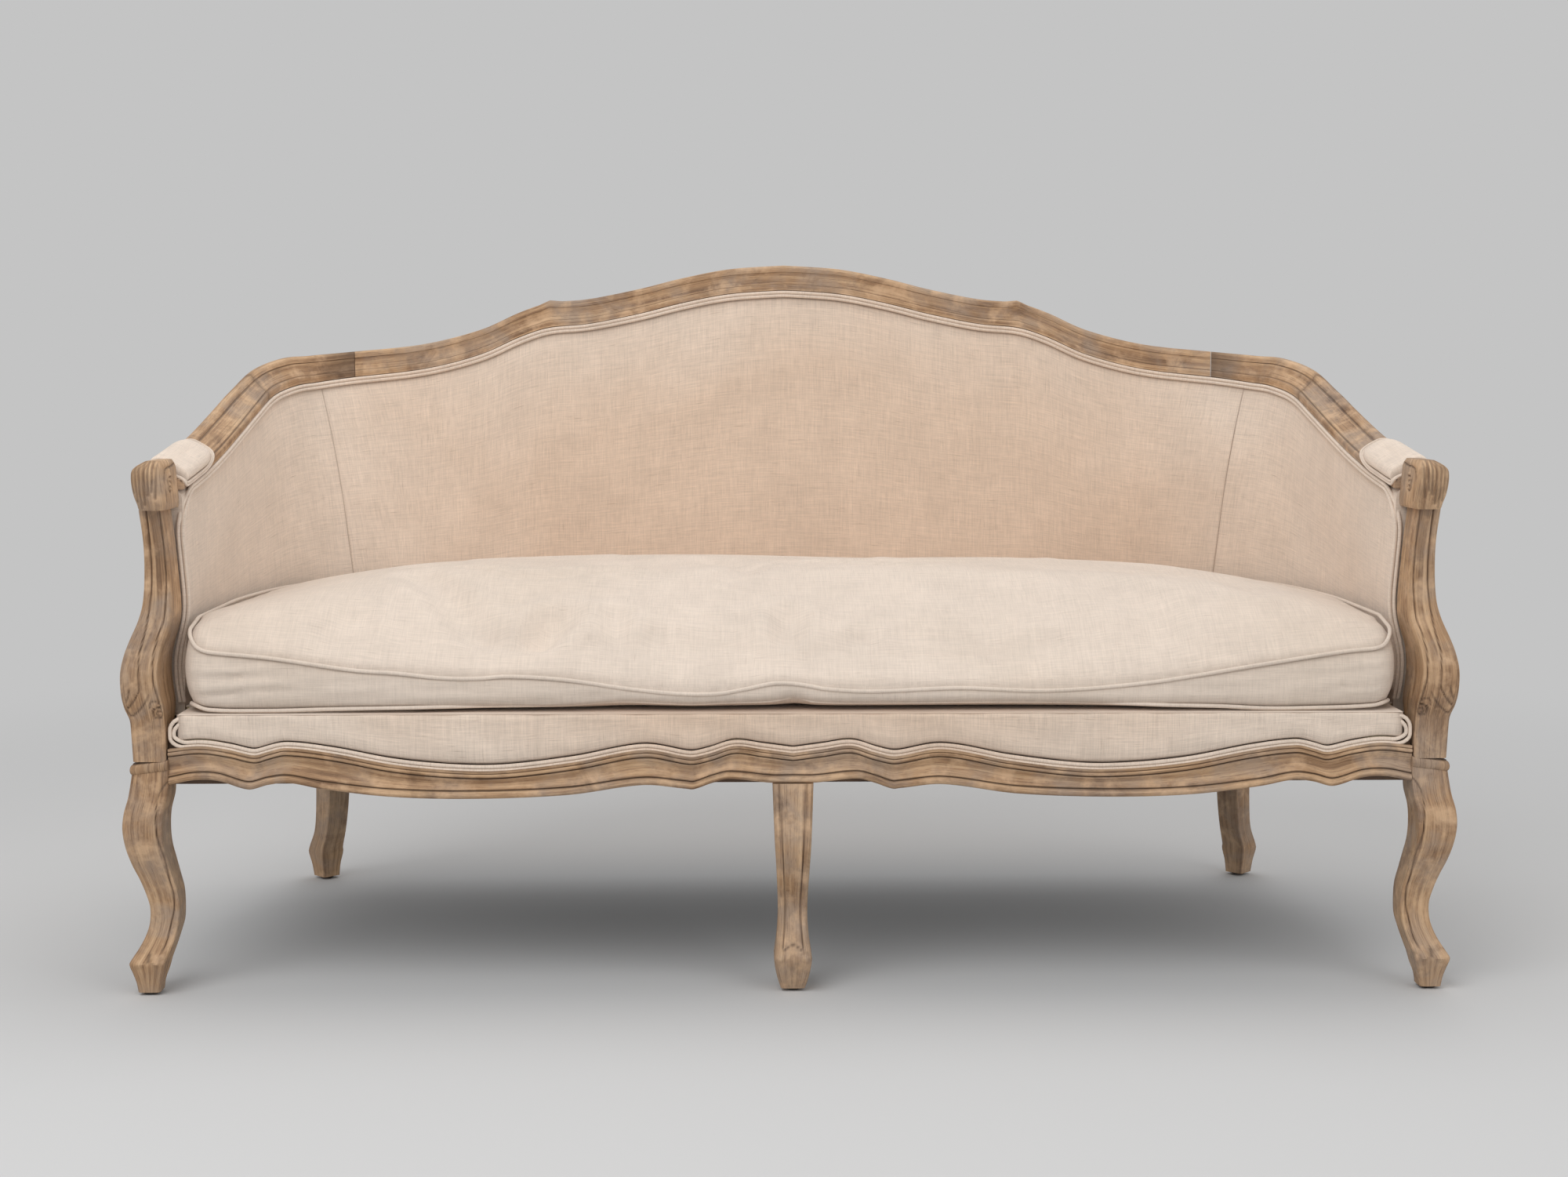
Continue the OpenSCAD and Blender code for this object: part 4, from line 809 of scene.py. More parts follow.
# Section of the side and back rails in millimetres: in from their outer face, and up
SEAT_RAIL_SECTION = table(2, "25.5 0  4 0  1 1  0 4  1 8  3.5 9.5  1.2 11  1 54  2 57  4 58  25.5 58") / 1000
LEAD_STEPS = 6


def edge_z(rows, x):
    return FACE_LOW_Z + FACE_H * table_value(rows, min(abs(x) / FRONT_SPAN, 1))


def face_section(x):
    """Height, depth and dirt of the front rail's points at a place along it."""
    low, high = edge_z(RAIL_EDGE_SHARES, x), edge_z(BORDER_EDGE_SHARES, x) + 0.5 * WELT_D
    start, end = low + FACE_LOW[-1, 0], high - FACE_HIGH[0, 0]
    cove = [(mix(start, end, i / COVE_STEPS), 0.0032 + COVE_DEPTH * sin(pi * i / COVE_STEPS), 0)
            for i in range(1, COVE_STEPS)]
    return np.concatenate([[(low, FACE_T, 0)], FACE_LOW + [low, 0, 0], cove,
                           FACE_HIGH * [-1, 1, 1] + [high, 0, 0], [(high, FACE_T, 0)]])


def front_rail():
    xs = np.linspace(-FRONT_SPAN, FRONT_SPAN, 641)
    # Painted shade in the grooves beside the beads, from the section's third column
    z, deep, painted_shade_and_stain = np.moveaxis(np.array([face_section(x) for x in xs]), 2, 0)
    return shell(np.stack([np.broadcast_to(xs[:, None], z.shape), FACE_Y + deep, z], axis=2), groove=painted_shade_and_stain)


def seat_rail(u0, u1, lead=0.0):
    """Side or back rail of the seat, with a bead along its lower outer edge; led on to the stump."""
    grid = [[skin(u, DECK_Z, SHELL_LOW_T + 0.0015 - back) for back in SEAT_RAIL_SECTION[:, 0]]
            for u in run(u0, u1, 1 / 320)]
    if lead:
        grid = [[p - [0, lead * (1 - k / LEAD_STEPS), 0] for p in grid[0]] for k in range(LEAD_STEPS)] + grid
    grid = np.array(grid)
    grid[..., 2] = RAIL_LOW_Z + SEAT_RAIL_SECTION[:, 1]
    # Painted shade in the line under the bead
    under_bead = np.zeros(grid.shape[:2])
    under_bead[:, 5] = 1
    return shell(grid, groove=under_bead)


# Upholstery of the arms and the back

PADDING_T, CLOTH_T, FOLD_T, STRAP_T, STRAP_W, FOAM_ROOM = 0.020, 0.0015, 0.019, 0.0016, 0.050, 0.003
COVER_LOW_Z = DECK_Z - CLOTH_T - 0.035 / 3
SEAM_DIP, SEAM_DIP_REACH, SEAM_FADE, SEAM_SHIFT = 0.0011, 0.0012, 0.08, (0.0125, 0.0055)
FOLD_REACH = 0.0022
BACK_SPAN = (SEAM_SHARE, 1 - SEAM_SHARE)
ARM_SPAN = (0, SEAM_SHARE - JOINT_GAP_SHARE)
COVER_ROWS = 44


def padding_face(u, z, t):
    """How far behind the plain inside surface a cover lies: crowned, uneven, drawn in at its top."""
    ripple = sin(61 * u + 5 * t) + sin(37 * u - 11 * t) + 0.6 * sin(149 * u + 3 * t)
    return 0.006 * max(0, (t - 0.965) / 0.035) ** 2 - crown(u, z) - 0.0007 * ripple * sin(pi * t)


def seam_shift(u, t):
    """How far along the seam of the back corner wanders at a height, fading out away from it."""
    off = min(abs(u - SEAM_SHARE), abs(1 - u - SEAM_SHARE)) / SEAM_FADE
    shift = max(0, 1 - off * off) ** 2 * mix(*SEAM_SHIFT, t ** 4)
    return shift if u < 0.5 else -shift


def panel_grid(us, z0, drop, off, rows=COVER_ROWS):
    """Points over the inside surface from a height up to the rail, at a distance behind it."""
    def point(u, t):
        v = u + seam_shift(u, t)
        z = mix(z0, top_z(v) - drop, t)
        return skin(v, z, off(u, v, z, t))
    return np.array([[point(u, i / rows) for i in range(rows + 1)] for u in us])


def padded_cover(u0, u1, seams):
    """Cover over padding, with a drawn-in seam at the ends that meet another cover."""
    turn = [FOLD_REACH * s for s in (0, 0.15, 0.5, 1)]
    us = [u0 + s for s in turn[:-1]] + run(u0 + FOLD_REACH, u1 - FOLD_REACH, 1 / 300)
    us += [u1 - s for s in turn[-2::-1]]

    def pull(u):
        return sum(SEAM_DIP * exp(-abs(u - s) / SEAM_DIP_REACH) for s in seams)

    def thick(u):
        return mix(CLOTH_T, FOLD_T, max(0, 1 - min(abs(u - u0), abs(u - u1)) / FOLD_REACH) ** 0.5)

    front = panel_grid(us, COVER_LOW_Z, GAP, lambda u, v, z, t: padding_face(v, z, t) + pull(u))
    back = panel_grid(us, COVER_LOW_Z, GAP, lambda u, v, z, t: padding_face(v, z, t) + (pull(u) + thick(u)))
    # Painted shade in the drawn-in seams and under the rail's welt; painted shade on the turned-in ends, less
    # at the arm's front
    painted_shade_and_stain = np.array([[max(0.3 * (pull(u) / SEAM_DIP) ** 2, max(0, (t / COVER_ROWS - 0.97) / 0.03) * 0.9)
                      for t in range(COVER_ROWS + 1)] for u in us])
    turned_in = np.zeros_like(painted_shade_and_stain)
    painted_shade_and_stain[[0, -1]] = turned_in[[0, -1]] = 0.3
    if u0 == 0:
        painted_shade_and_stain[0] = turned_in[0] = 0.1
    return slab(front, back, painted_shade_and_stain, turned_in) | {"flat": flat_size(front)}


def inner_padding(u0, u1):
    us = run(u0 + 1.2 * FOLD_REACH, u1 - 1.2 * FOLD_REACH, 1 / 100)
    return slab(*(panel_grid(us, COVER_LOW_Z, 0.008, off, 12) for off in (
        lambda u, v, z, t: CLOTH_T + FOAM_ROOM - crown(v, z), lambda u, v, z, t: PADDING_T)))


def flat_size(grid):
    """Width, height and area of the flat cloth that covers a grid of points."""
    across, up = (norm(np.diff(grid, axis=a), axis=2) for a in (0, 1))
    area = (across[:, :-1] + across[:, 1:]) * (up[:-1] + up[1:]) / 4
    return float(across.sum(axis=0).max()), float(up.sum(axis=1).max()), float(area.sum())


def stump_share(z):
    return clamp((z - STUMP_LOW_Z) / (STUMP_HIGH_Z - STUMP_LOW_Z))


def brought_forward(grid):
    """Rows of a grid that carry its first row forward to the back of the stump."""
    rows = np.repeat(grid[:1], 3, axis=0)
    for row, t in zip(rows, (0, 0.33, 0.66)):
        for p in row:
            stump_back_y = LEG_Y + shares_at(STUMP_SHARES, stump_share(p[2]))[3] * LEG_BLOCK
            p[1] = mix(stump_back_y + GAP, p[1], t)
    return rows


def outer_cover(u0, u1):
    """Cloth over the outside of the shell, brought forward at the arm's front to the stump."""
    def off(u, v, z, t):
        sag = 0.0012 * sin(pi * t) * sin(9 * pi * v)
        return mix(SHELL_LOW_T, SHELL_TOP_T, height_share(v, z)) + sag

    us = run(u0, u1, 1 / 240)
    near, far = (panel_grid(us, RAIL_TOP_Z + GAP, GAP, lambda *at: off(*at) - inset) for inset in (CLOTH_T, 0))
    if u0 == 0:
        near, far = (np.concatenate([brought_forward(grid), grid]) for grid in (near, far))
    return slab(near, far) | {"flat": flat_size(far)}


# Height and depth of a stitch's thread as it comes out of the seam and goes back in
STITCH = ((0, 0.0012), (0.001, 0), (0.0028, 0), (0.0038, 0.0012))
STITCH_PITCH, STITCH_R = 0.0055, 0.00036


def seam_stitches(u):
    """Short stitches down a seam."""
    shells = []
    low, high = DECK_Z + 0.06, top_z(u) - 0.012
    for k in range(int((high - low) / STITCH_PITCH)):
        z = low + STITCH_PITCH * k
        v = u + seam_shift(u, height_share(u, z)) + 0.0006
        off = 0.0012 - crown(v, z)
        path = [skin(v, z + d, off + dip) for d, dip in STITCH]
        shells.append(cord_shell(path, outward(u, z), STITCH_R, 5))
    return shells


def rail_down(u):
    h = STEP_SHARE / 2
    return -unit(np.cross(rail_edge(min(1, u + h)) - rail_edge(max(0, u - h)), outward(u, top_z(u))))


def back_welt(k):
    """One welt of the two up the front of each arm and along the lower edge of the show wood."""
    low = (k + 0.5) * WELT_D
    front, middle, across = [], [], []
    for t in np.linspace(0.02, 0.94, 24):
        z = mix(DECK_Z, top_z(0) - 2 * low, t)
        share = stump_share(z)
        inward = mix(shares_at(STUMP_SHARES, share)[1], KNUCKLE_SHARES[0, 2], max(0, share - 0.9) / 0.1)
        front.append([-LEG_X + inward * LEG_BLOCK + GAP + low, PANEL_FRONT_Y - WELT_D / 2 + 0.0015 * k, z])
        across.append(outward(0, z))
    for u in run(2 / 72 * 0.55, 1 - 2 / 72 * 0.55, 1 / 360):
        v = top_z(u) - low
        middle.append(rail_edge(u) + outward(u, v) * (-WELT_D / 2 - 2 * GAP - crown(u, v))
                      + rail_down(u) * (low + GAP))
        across.append(outward(u, v))
    across += [v * MIRROR for v in across[:24][::-1]]
    path = np.array(front + middle + [p * MIRROR for p in front[::-1]])
    return cord_shell(eased(path), np.array(across), WELT_D / 2, 12)


# Arm pads

# Where the pad starts and ends along the arm, and over which control points of the rail's section
PAD_START, PAD_END = 0.0060, 0.0700
PAD_FIRST, PAD_LAST = 2, 8
PAD_ROUND_SHARE, PAD_H, PAD_WELT_R = 0.34, 0.016, 0.002
# How far each welt lies outside the pad: in control points aside, and along the arm beyond it
PAD_WELTS = [(0.30, 0.0009), (0.72, 0.0028)]


def over_rail(u, k, lift):
    """Place over the armrest's section, at control point k of it."""
    rows = mix(UPRIGHT_SHARES, LYING_SHARES, arm_back(u)[5])
    p, ahead, behind = (smooth(rows, (k + s) / (len(rows) - 1)) for s in (0, 0.1, -0.1))
    d = unit((ahead - behind) * [RAIL_T, RAIL_H])
    n = outward(u, top_z(u))
    base = rail_edge(u) + n * p[0] * RAIL_T + np.array([0, 0, p[1] * RAIL_H])
    return base - n * d[1] * lift + np.array([0, 0, d[0] * lift])


def pad_rise(t, s):
    """Share of the pad's height along it and across it."""
    end = sqrt(max(0, 1 - max(0, (t - 1) / 0.45 + 1) ** 2.6)) * sqrt(1 - max(0, 1 - t / 0.06) ** 2)
    return end * max(0, 1 - abs(2 * s - 1) ** 2.6) ** 0.5


def arm_pad():
    """Plump pad over the arm, its far end round like a tongue."""
    ts = [sin(pi / 2 * i / 60) for i in range(60)] + [0.9999]
    ss = [0.5 - 0.5 * cos(pi * j / 34) for j in range(35)]

    def place(t, s, height):
        width = sqrt(max(0, 1 - max(0, (t - 1) / PAD_ROUND_SHARE + 1) ** 2))
        return over_rail(mix(PAD_START, PAD_END, t), mix(PAD_FIRST, PAD_LAST, 0.5 + (s - 0.5) * width),
                         GAP + height * pad_rise(t, s))

    near, far = (np.array([[place(t, s, height) for s in ss] for t in ts]) for height in (PAD_H, 0))
    # Painted shade where the pad's edges come down onto the rail
    return slab(near, far, np.array([[max(0, 0.3 - pad_rise(t, s)) * 2 for s in ss] for t in ts]))


def pad_welt(aside, beyond):
    """Welt all round the pad."""
    round_u = PAD_ROUND_SHARE * (PAD_END - PAD_START)
    middle, half = (PAD_FIRST + PAD_LAST) / 2, (PAD_LAST - PAD_FIRST) / 2
    low, high, front, turn = PAD_FIRST - aside, PAD_LAST + 0.8 * aside, PAD_START - beyond, PAD_END - round_u
    at = [(u, low) for u in np.linspace(front, turn, 22)]
    at += [(turn + (round_u + beyond) * cos(a), middle + (half + 0.9 * aside) * sin(a))
           for a in np.linspace(-pi / 2, pi / 2, 26)[1:-1]]
    at += [(u, high) for u in np.linspace(turn, front, 22)]
    at += [(front, k) for k in np.linspace(high, low, 14)[1:-1]]
    path = np.array([over_rail(u, k, PAD_WELT_R + GAP) for u, k in at])
    for _ in range(3):
        path = 0.5 * path + 0.25 * (np.roll(path, 1, axis=0) + np.roll(path, -1, axis=0))
    return loop_shell(path, np.array([over_rail(u, k, 0.01) - over_rail(u, k, 0) for u, k in at]), PAD_WELT_R)


# Front border and its double welt

BORDER_T = 0.010
BORDER_TOP_Z = DECK_Z - CLOTH_T
BORDER_SIDE = FRONT_SPAN - 2 * (WELT_D + GAP)
BATTEN_FACE_Y = BATTEN_FRONT_Y - GAP


def border_edge(x, off=0.0):
    """Place on the scalloped edge under the border, or beside it at a distance square to it."""
    z = edge_z(BORDER_EDGE_SHARES, x)
    dx = 0.01 * FRONT_SPAN
    n = unit([edge_z(BORDER_EDGE_SHARES, x - dx) - edge_z(BORDER_EDGE_SHARES, x + dx), 2 * dx])
    return x + n[0] * off, z + n[1] * off


def front_border():
    """Padded board between the deck and the scalloped double welt."""
    xs, ts = np.linspace(-BORDER_SIDE, BORDER_SIDE, 361), np.linspace(0, 1, 19)
    near, painted_shade_and_stain = [], []
    for x in xs:
        low = border_edge(x)[1] + 2 * (WELT_D + GAP)
        end = min(1, (BORDER_SIDE - abs(x)) / 0.016)
        for t in ts:
            soft = sqrt(max(0, 1 - (1 - min(1, t / 0.4)) ** 2)) * sqrt(max(0, 1 - (1 - end) ** 2))
            turn = sqrt(1 - max(0, (t - 0.93) / 0.07) ** 2)
            uneven = 0.0006 * (sin(43 * x + 7 * t) + sin(97 * x))
            near.append([x, BATTEN_FACE_Y - 0.002 - (BORDER_T - 0.001 + uneven) * soft * mix(0.8, 1, turn),
                         mix(low, BORDER_TOP_Z - GAP, t)])
            # Painted shade along the lower edge over the welts and at the ends
            painted_shade_and_stain.append(0.5 * max(0, 1 - 14 * t, 1 - end))
    near = np.array(near).reshape(len(xs), len(ts), 3)
    far = near.copy()
    far[..., 1] = BATTEN_FACE_Y
    return slab(near, far, np.array(painted_shade_and_stain).reshape(len(xs), len(ts)))


def seat_welt(k):
    """One welt of the two round the border's ends and along its scalloped edge."""
    low = (k + 0.5) * WELT_D
    side, y, top = FRONT_SPAN - low, BATTEN_FACE_Y - WELT_D / 2 - 0.003, BORDER_TOP_Z - low - 0.001
    foot = border_edge(side)[1] + low + 0.008
    eighths = np.linspace(0, 1, 8)
    left = [(mix(0.055 - side, 0.012 - side, t), y, top) for t in eighths] + [(0.003 - side, y, top - 0.003)]
    left += [(-side, y, mix(top - 0.012, foot, t)) for t in eighths]
    along = (border_edge(x, low) for x in np.linspace(-side + 0.012, side - 0.012, 520))
    path = left + [(x, y, z) for x, z in along] + [(-x, y, z) for x, y, z in left[::-1]]
    return cord_shell(eased(np.array(path)), (0.0, 1.0, 0.0), WELT_D / 2)


# Springs, webbing and glides

WIRE_D, SPRING_COUNT, SPRING_BENDS, SPRING_W, BEND_STEPS = 0.0036, 13, 24, 0.050, 8
STRAP_SHARES = (0.12, 0.38, 0.64)
# Radius and height of the glides' rings
GLIDE_RINGS = ((0.001, 0), (0.009, 0), (0.0105, 0.001), (0.011, 0.0022), (0.011, GLIDE_T), (0.001, GLIDE_T))


def spring_shells():
    """Zigzag springs of round wire between the rails."""
    low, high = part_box("zigzag_springs")
    plan = np.array([skin(u, DECK_Z, SHELL_LOW_T - 0.024 - GAP)[:2] for u in run(0.2, 0.8, 1 / 120)])
    half, steps, shells = SPRING_W / 2, SPRING_BENDS * BEND_STEPS, []
    for x in np.linspace(low[0] + half + WIRE_D, high[0] - half - WIRE_D, SPRING_COUNT):
        rail_y = min(np.interp([x - half, x + half], *plan.T))
        end = min(high[1] - WIRE_D, rail_y - 0.006)
        path = [[x + half * clamp(1.25 * cos(i / steps * SPRING_BENDS * pi), -1) - WIRE_D / 2,
                 mix(low[1] + WIRE_D, end, i / steps), RAIL_TOP_Z - WIRE_D / 2] for i in range(steps + 1)]
        shells.append(cord_shell(path, (0.0, 0.0, 1.0), WIRE_D / 2, 6))
    return shells


def strap(share):
    """Web of the back at a share of its height."""
    us = run(SEAM_SHARE - 0.008, 1 - SEAM_SHARE + 0.008, 1 / 120)
    z = mix(RAIL_TOP_Z, top_z(us[0]) - STRAP_W, share)
    return slab(*(np.array([[skin(u, z + STRAP_W * k / 4, off) for k in range(5)] for u in us])
                  for off in (PADDING_T + 2 * GAP, PADDING_T + 2 * GAP + STRAP_T)))


def glide_shells():
    """Round nail-on glides with a domed foot."""
    foot, middle, back = CORNER_LEG_SHARES[0], MIDDLE_LEG_SHARES[0], BACK_LEG_SHARES[0]
    shift = (foot[1] - foot[2]) / 2 * LEG_BLOCK
    places = [(side * (LEG_X + shift), LEG_Y - shift) for side in (-1, 1)]
    places += [(0, MIDDLE_LEG_Y + (middle[3] - middle[2]) / 2 * MIDDLE_LEG_W)]
    places += [(side * (BACK_LEG_X + back[1] * BACK_LEG_W), BACK_LEG_Y + back[2] * BACK_LEG_W)
               for side in (-1, 1)]
    turns = np.linspace(0, 2 * pi, 32, endpoint=False)
    return [shell([[[x + r * cos(a), y + r * sin(a), z] for a in turns] for r, z in GLIDE_RINGS])
            for x, y in places]


# Loose seat cushion

BOXING_H, CUSHION_BACK_RISE = 0.094, 0.028
CUSHION_CORNER, CUSHION_SIDE_GAP, CUSHION_GAP = 0.038, 0.017, 0.003
CUSHION_MIDDLE_Y = mix(CUSHION_FRONT_Y, CUSHION_BACK_Y, 0.55)
# Height of the middle of the cushion over the deck before its filling puffs it out, and what
# its left half stands higher than its right
CROWN_RISE, CROWN_LEAN = 0.160, 0.006
# Height of the top welt over the deck along the front of the cushion, from left to right
FRONT_WELT = table(2, """-820 95  -807 87  -780 82  -711 75  -594 57  -540 53  -478 46  -430 45  -388 48
    -311 43  -231 31  -159 23  -104 22.5  -66 29  -24 37.5  14 35  45 29  108 25.5  225 30  348 26
    485 37  631 61  754 81  807 87  820 94""") / 1000
# Height of the lower edge of its boxing over the deck, which sags over the border at both sides
FRONT_FOOT = table(2, """-822 12  -794 2  -712 0  -629 2  -437 5  -310 7  -239 12  -170 9  -138 8  -83 10
    -27 12  3 18  27 11  97 9  330 10  503 5  585 3  640 0  696 0  795 4  822 12""") / 1000
# How far the boxing bulges out between its welts
FRONT_BULGE, SIDE_BULGE, CORNER_BULGE = 0.007, 0.006, 0.013
# The bottom welt rolls in under the middle of the boxing's front
TUCKED_HALF, TUCKED_FADE, TUCKED_DEEP = 0.52, 0.10, 0.007
CLOTH_PITCH, CLOTH_PRESSURE, SIM_FRAMES, MOST_MOVE = 0.0085, 4.0, 14, 0.012
# Dents and creases on the top: path in plan in millimetres, half width, depth
TOP_CREASES = [(smooth_run(table(2, path) / 1000, 18), half_w, depth) for path, half_w, depth in (
    ("-533 -156  -451 -270  -385 -322  -316 -262", 0.026, 0.0075),
    ("-470 110  -400 134  -330 126  -291 128", 0.011, 0.0042),
    ("-560 -40  -500 -88  -430 -100", 0.013, 0.0040), ("-250 -90  -330 -140  -400 -150", 0.017, 0.0040),
    ("32 13  116 -50  212 -75", 0.009, 0.0048), ("60 40  150 20  260 12", 0.011, 0.0030),
    ("-369 -380  -360 -330  -338 -270", 0.022, 0.0075), ("-260 -380  -240 -320  -250 -260", 0.020, 0.0055),
    ("-180 -380  -190 -300", 0.020, 0.0050), ("-2 -380  -10 -320  -4 -250", 0.022, 0.0085),
    ("45 -380  60 -330  100 -290", 0.018, 0.0050), ("330 -380  352 -310", 0.026, 0.0040),
    ("520 -376  500 -250  430 -150", 0.034, 0.0050), ("-640 -376  -610 -290", 0.026, 0.0035),
    ("180 110  270 80  380 100", 0.018, 0.0040), ("-120 30  -60 -60  -90 -130", 0.026, 0.0045),
    ("560 20  640 -80  660 -190", 0.030, 0.0045))]
# Wrinkles across the front of the boxing: middle, half length, half width, depth, in millimetres
SIDE_CREASES = table(5, """-735 50 85 5 4  -660 36 100 4.5 3.2  -760 26 60 4 2.8  -500 30 110 4.5 2.6
    -300 20 60 4 3.6  740 52 80 4.5 2.6  600 34 110 4.5 2.2  790 36 50 4 3""") / 1000
TOP_DEEPENED, SIDE_DEEPENED = 1.4, 1.5


def cushion_outline(inset, sides=150, fronts=120, turns=10):
    """Plan of the cushion: right to left along the front, then round the left side, back and right."""
    c, x1 = CUSHION_CORNER, CUSHION_X
    out = [(mix(x1 - c, c - x1, i / fronts), CUSHION_FRONT_Y + inset) for i in range(1, fronts)]
    turn = [(c - x1 + (c - inset) * cos(a), CUSHION_FRONT_Y + c + (c - inset) * sin(a))
            for a in (radians(270 - 90 * i / turns) for i in range(turns + 1))]
    out += turn
    for u in (i / sides for i in range(1, sides)):
        x, y, _ = skin(u, DECK_Z, -inset - mix(CUSHION_SIDE_GAP, CUSHION_GAP, sin(pi * u) ** 2))
        out.append((clamp(x, inset - x1, x1 - inset), y))
    return np.array(out + [(-x, y) for x, y in turn[::-1]])


def back_share(y):
    return clamp((y - CUSHION_FRONT_Y) / (CUSHION_BACK_Y - CUSHION_FRONT_Y))


def welt_rise(x, y):
    """Height of the top welt over the deck: sagging along the front, nearly level round the back."""
    back = back_share(y)
    front = table_value(FRONT_WELT, clamp(x, -0.82, 0.82))
    return mix(front, BOXING_H, 1 - (1 - back) ** 8) + CUSHION_BACK_RISE * (1 - exp(-(back / 0.06) ** 2))


def foot_rise(x, y):
    """Height of the bottom welt over the deck, which lifts only along the front."""
    return table_value(FRONT_FOOT, clamp(x, -0.822, 0.822)) * (1 - back_share(y)) ** 12


def bulge(x, y):
    near_front = max(0, 1 - back_share(y) / 0.12)
    corner = near_front * max(0, 1 - (CUSHION_X - abs(x)) / 0.09)
    return mix(mix(SIDE_BULGE, FRONT_BULGE, near_front), CORNER_BULGE, corner ** 0.6)


def crown_z(x):
    return DECK_Z + CROWN_RISE - CROWN_LEAN * x / CUSHION_X


def cushion_rings():
    """Rings of the cushion at rest, from under its middle up the boxing and over the crown; its seams."""
    inset = WELT_D + GAP
    edge = cushion_outline(inset)
    out = cushion_outline(inset - 0.001) - edge
    puffed = edge + out / 0.001 * np.array([bulge(*p) for p in edge])[:, None]
    middle = np.array([0, CUSHION_MIDDLE_Y])
    foot = CUSHION_LOW_Z + np.array([foot_rise(*p) for p in edge])
    top = np.array([DECK_Z + welt_rise(*p) for p in edge])
    rings = [(mix(middle, edge, s), mix(CUSHION_LOW_Z, foot, s ** 12)) for s in (0.03, 0.3, 0.6, 0.85, 0.96)]
    rings += [(edge, foot + WELT_D / 2)]
    rings += [(mix(edge, puffed, sin(pi * t) ** 0.7), mix(foot + WELT_D / 2, top, t))
              for t in (0.12, 0.3, 0.5, 0.7, 0.88)]
    rings += [(edge, top)]
    rings += [(mix(middle, edge, s), mix(mix(crown_z(0), crown_z(edge[:, 0]), s), top, s ** 4))
              for s in (0.985, 0.96, 0.92, 0.86, 0.78, 0.68, 0.56, 0.42, 0.26, 0.12, 0.03)]
    rings = np.array([np.column_stack(ring) for ring in rings])
    return rings, (rings[5], rings[11])


def apply_modifiers(obj):
    graph = bpy.context.evaluated_depsgraph_get()
    mesh = bpy.data.meshes.new_from_object(obj.evaluated_get(graph), depsgraph=graph)
    obj.modifiers.clear()
    obj.data = mesh


def coordinates(obj):
    co = np.empty(len(obj.data.vertices) * 3)
    obj.data.vertices.foreach_get("co", co)
    return co.reshape(-1, 3)


def nearest(points, paths):
    """Distance from each point to the nearest place on some paths."""
    tree = kdtree.KDTree(sum(map(len, paths)))
    for p in np.concatenate(paths):
        tree.insert(p, 0)
    tree.balance()
    return np.array([tree.find(p)[2] for p in points])


def inflate(obj, pinned):
    """Lets the cover's cloth settle under the pressure of its filling, held along its seams."""
    group = obj.vertex_groups.new(name="seams")
    for weight in sorted(set(np.round(pinned[pinned > 0.01], 2))):
        group.add([int(i) for i in np.nonzero(np.abs(pinned - weight) < 0.006)[0]], float(weight), "REPLACE")
    rest = coordinates(obj)
    cloth = obj.modifiers.new("cloth", "CLOTH")
    s = cloth.settings
    s.quality, s.mass, s.air_damping = 5, 0.3, 2.0
    s.tension_stiffness = s.compression_stiffness = 12
    s.shear_stiffness, s.bending_stiffness = 5, 0.08
    s.use_pressure, s.uniform_pressure_force, s.shrink_min = True, CLOTH_PRESSURE, 0.0
    s.vertex_group_mass = "seams"
    s.effector_weights.gravity = 0
    cloth.collision_settings.use_collision = False
    cloth.point_cache.frame_start, cloth.point_cache.frame_end = 1, SIM_FRAMES
    for number in range(1, SIM_FRAMES + 1):
        bpy.context.scene.frame_set(number)
    apply_modifiers(obj)
    bpy.context.scene.frame_set(1)
    moved = coordinates(obj) - rest
    length = norm(moved, axis=1)
    kept = np.where(length > MOST_MOVE, MOST_MOVE / np.maximum(length, 1e-9), 1)
    return rest + moved * kept[:, None]


def creased(co):
    """Sculpts the dents and creases of use into the cover."""
    out = co.copy()
    x, y, rise = co[:, 0], co[:, 1], co[:, 2] - DECK_Z
    high = np.clip((rise - 0.075) / 0.02, 0, 1)
    for path, half_w, depth in TOP_CREASES:
        d = away(co[:, :2], path) / half_w
        out[:, 2] -= TOP_DEEPENED * depth * high * (np.exp(-d * d) - 0.45 * np.exp(-((d - 1.7) ** 2) * 1.6))
    out[:, 2] += high * (0.0032 * np.sin(9 * x + 3) * np.sin(14 * y - 1))
    front = np.clip((CUSHION_FRONT_Y + 0.02 - y) / 0.012, 0, 1)
    for at, z, half_l, half_w, depth in SIDE_CREASES:
        d = (rise - z - 0.05 * (x - at)) / half_w
        wrinkle = np.exp(-d * d) - 0.5 * np.exp(-((np.abs(d) - 1.8) ** 2) * 1.5)
        out[:, 1] += SIDE_DEEPENED * depth * front * np.exp(-((x - at) / half_l) ** 4) * wrinkle
    out[:, 2] = np.maximum(out[:, 2], CUSHION_LOW_Z)
    return out


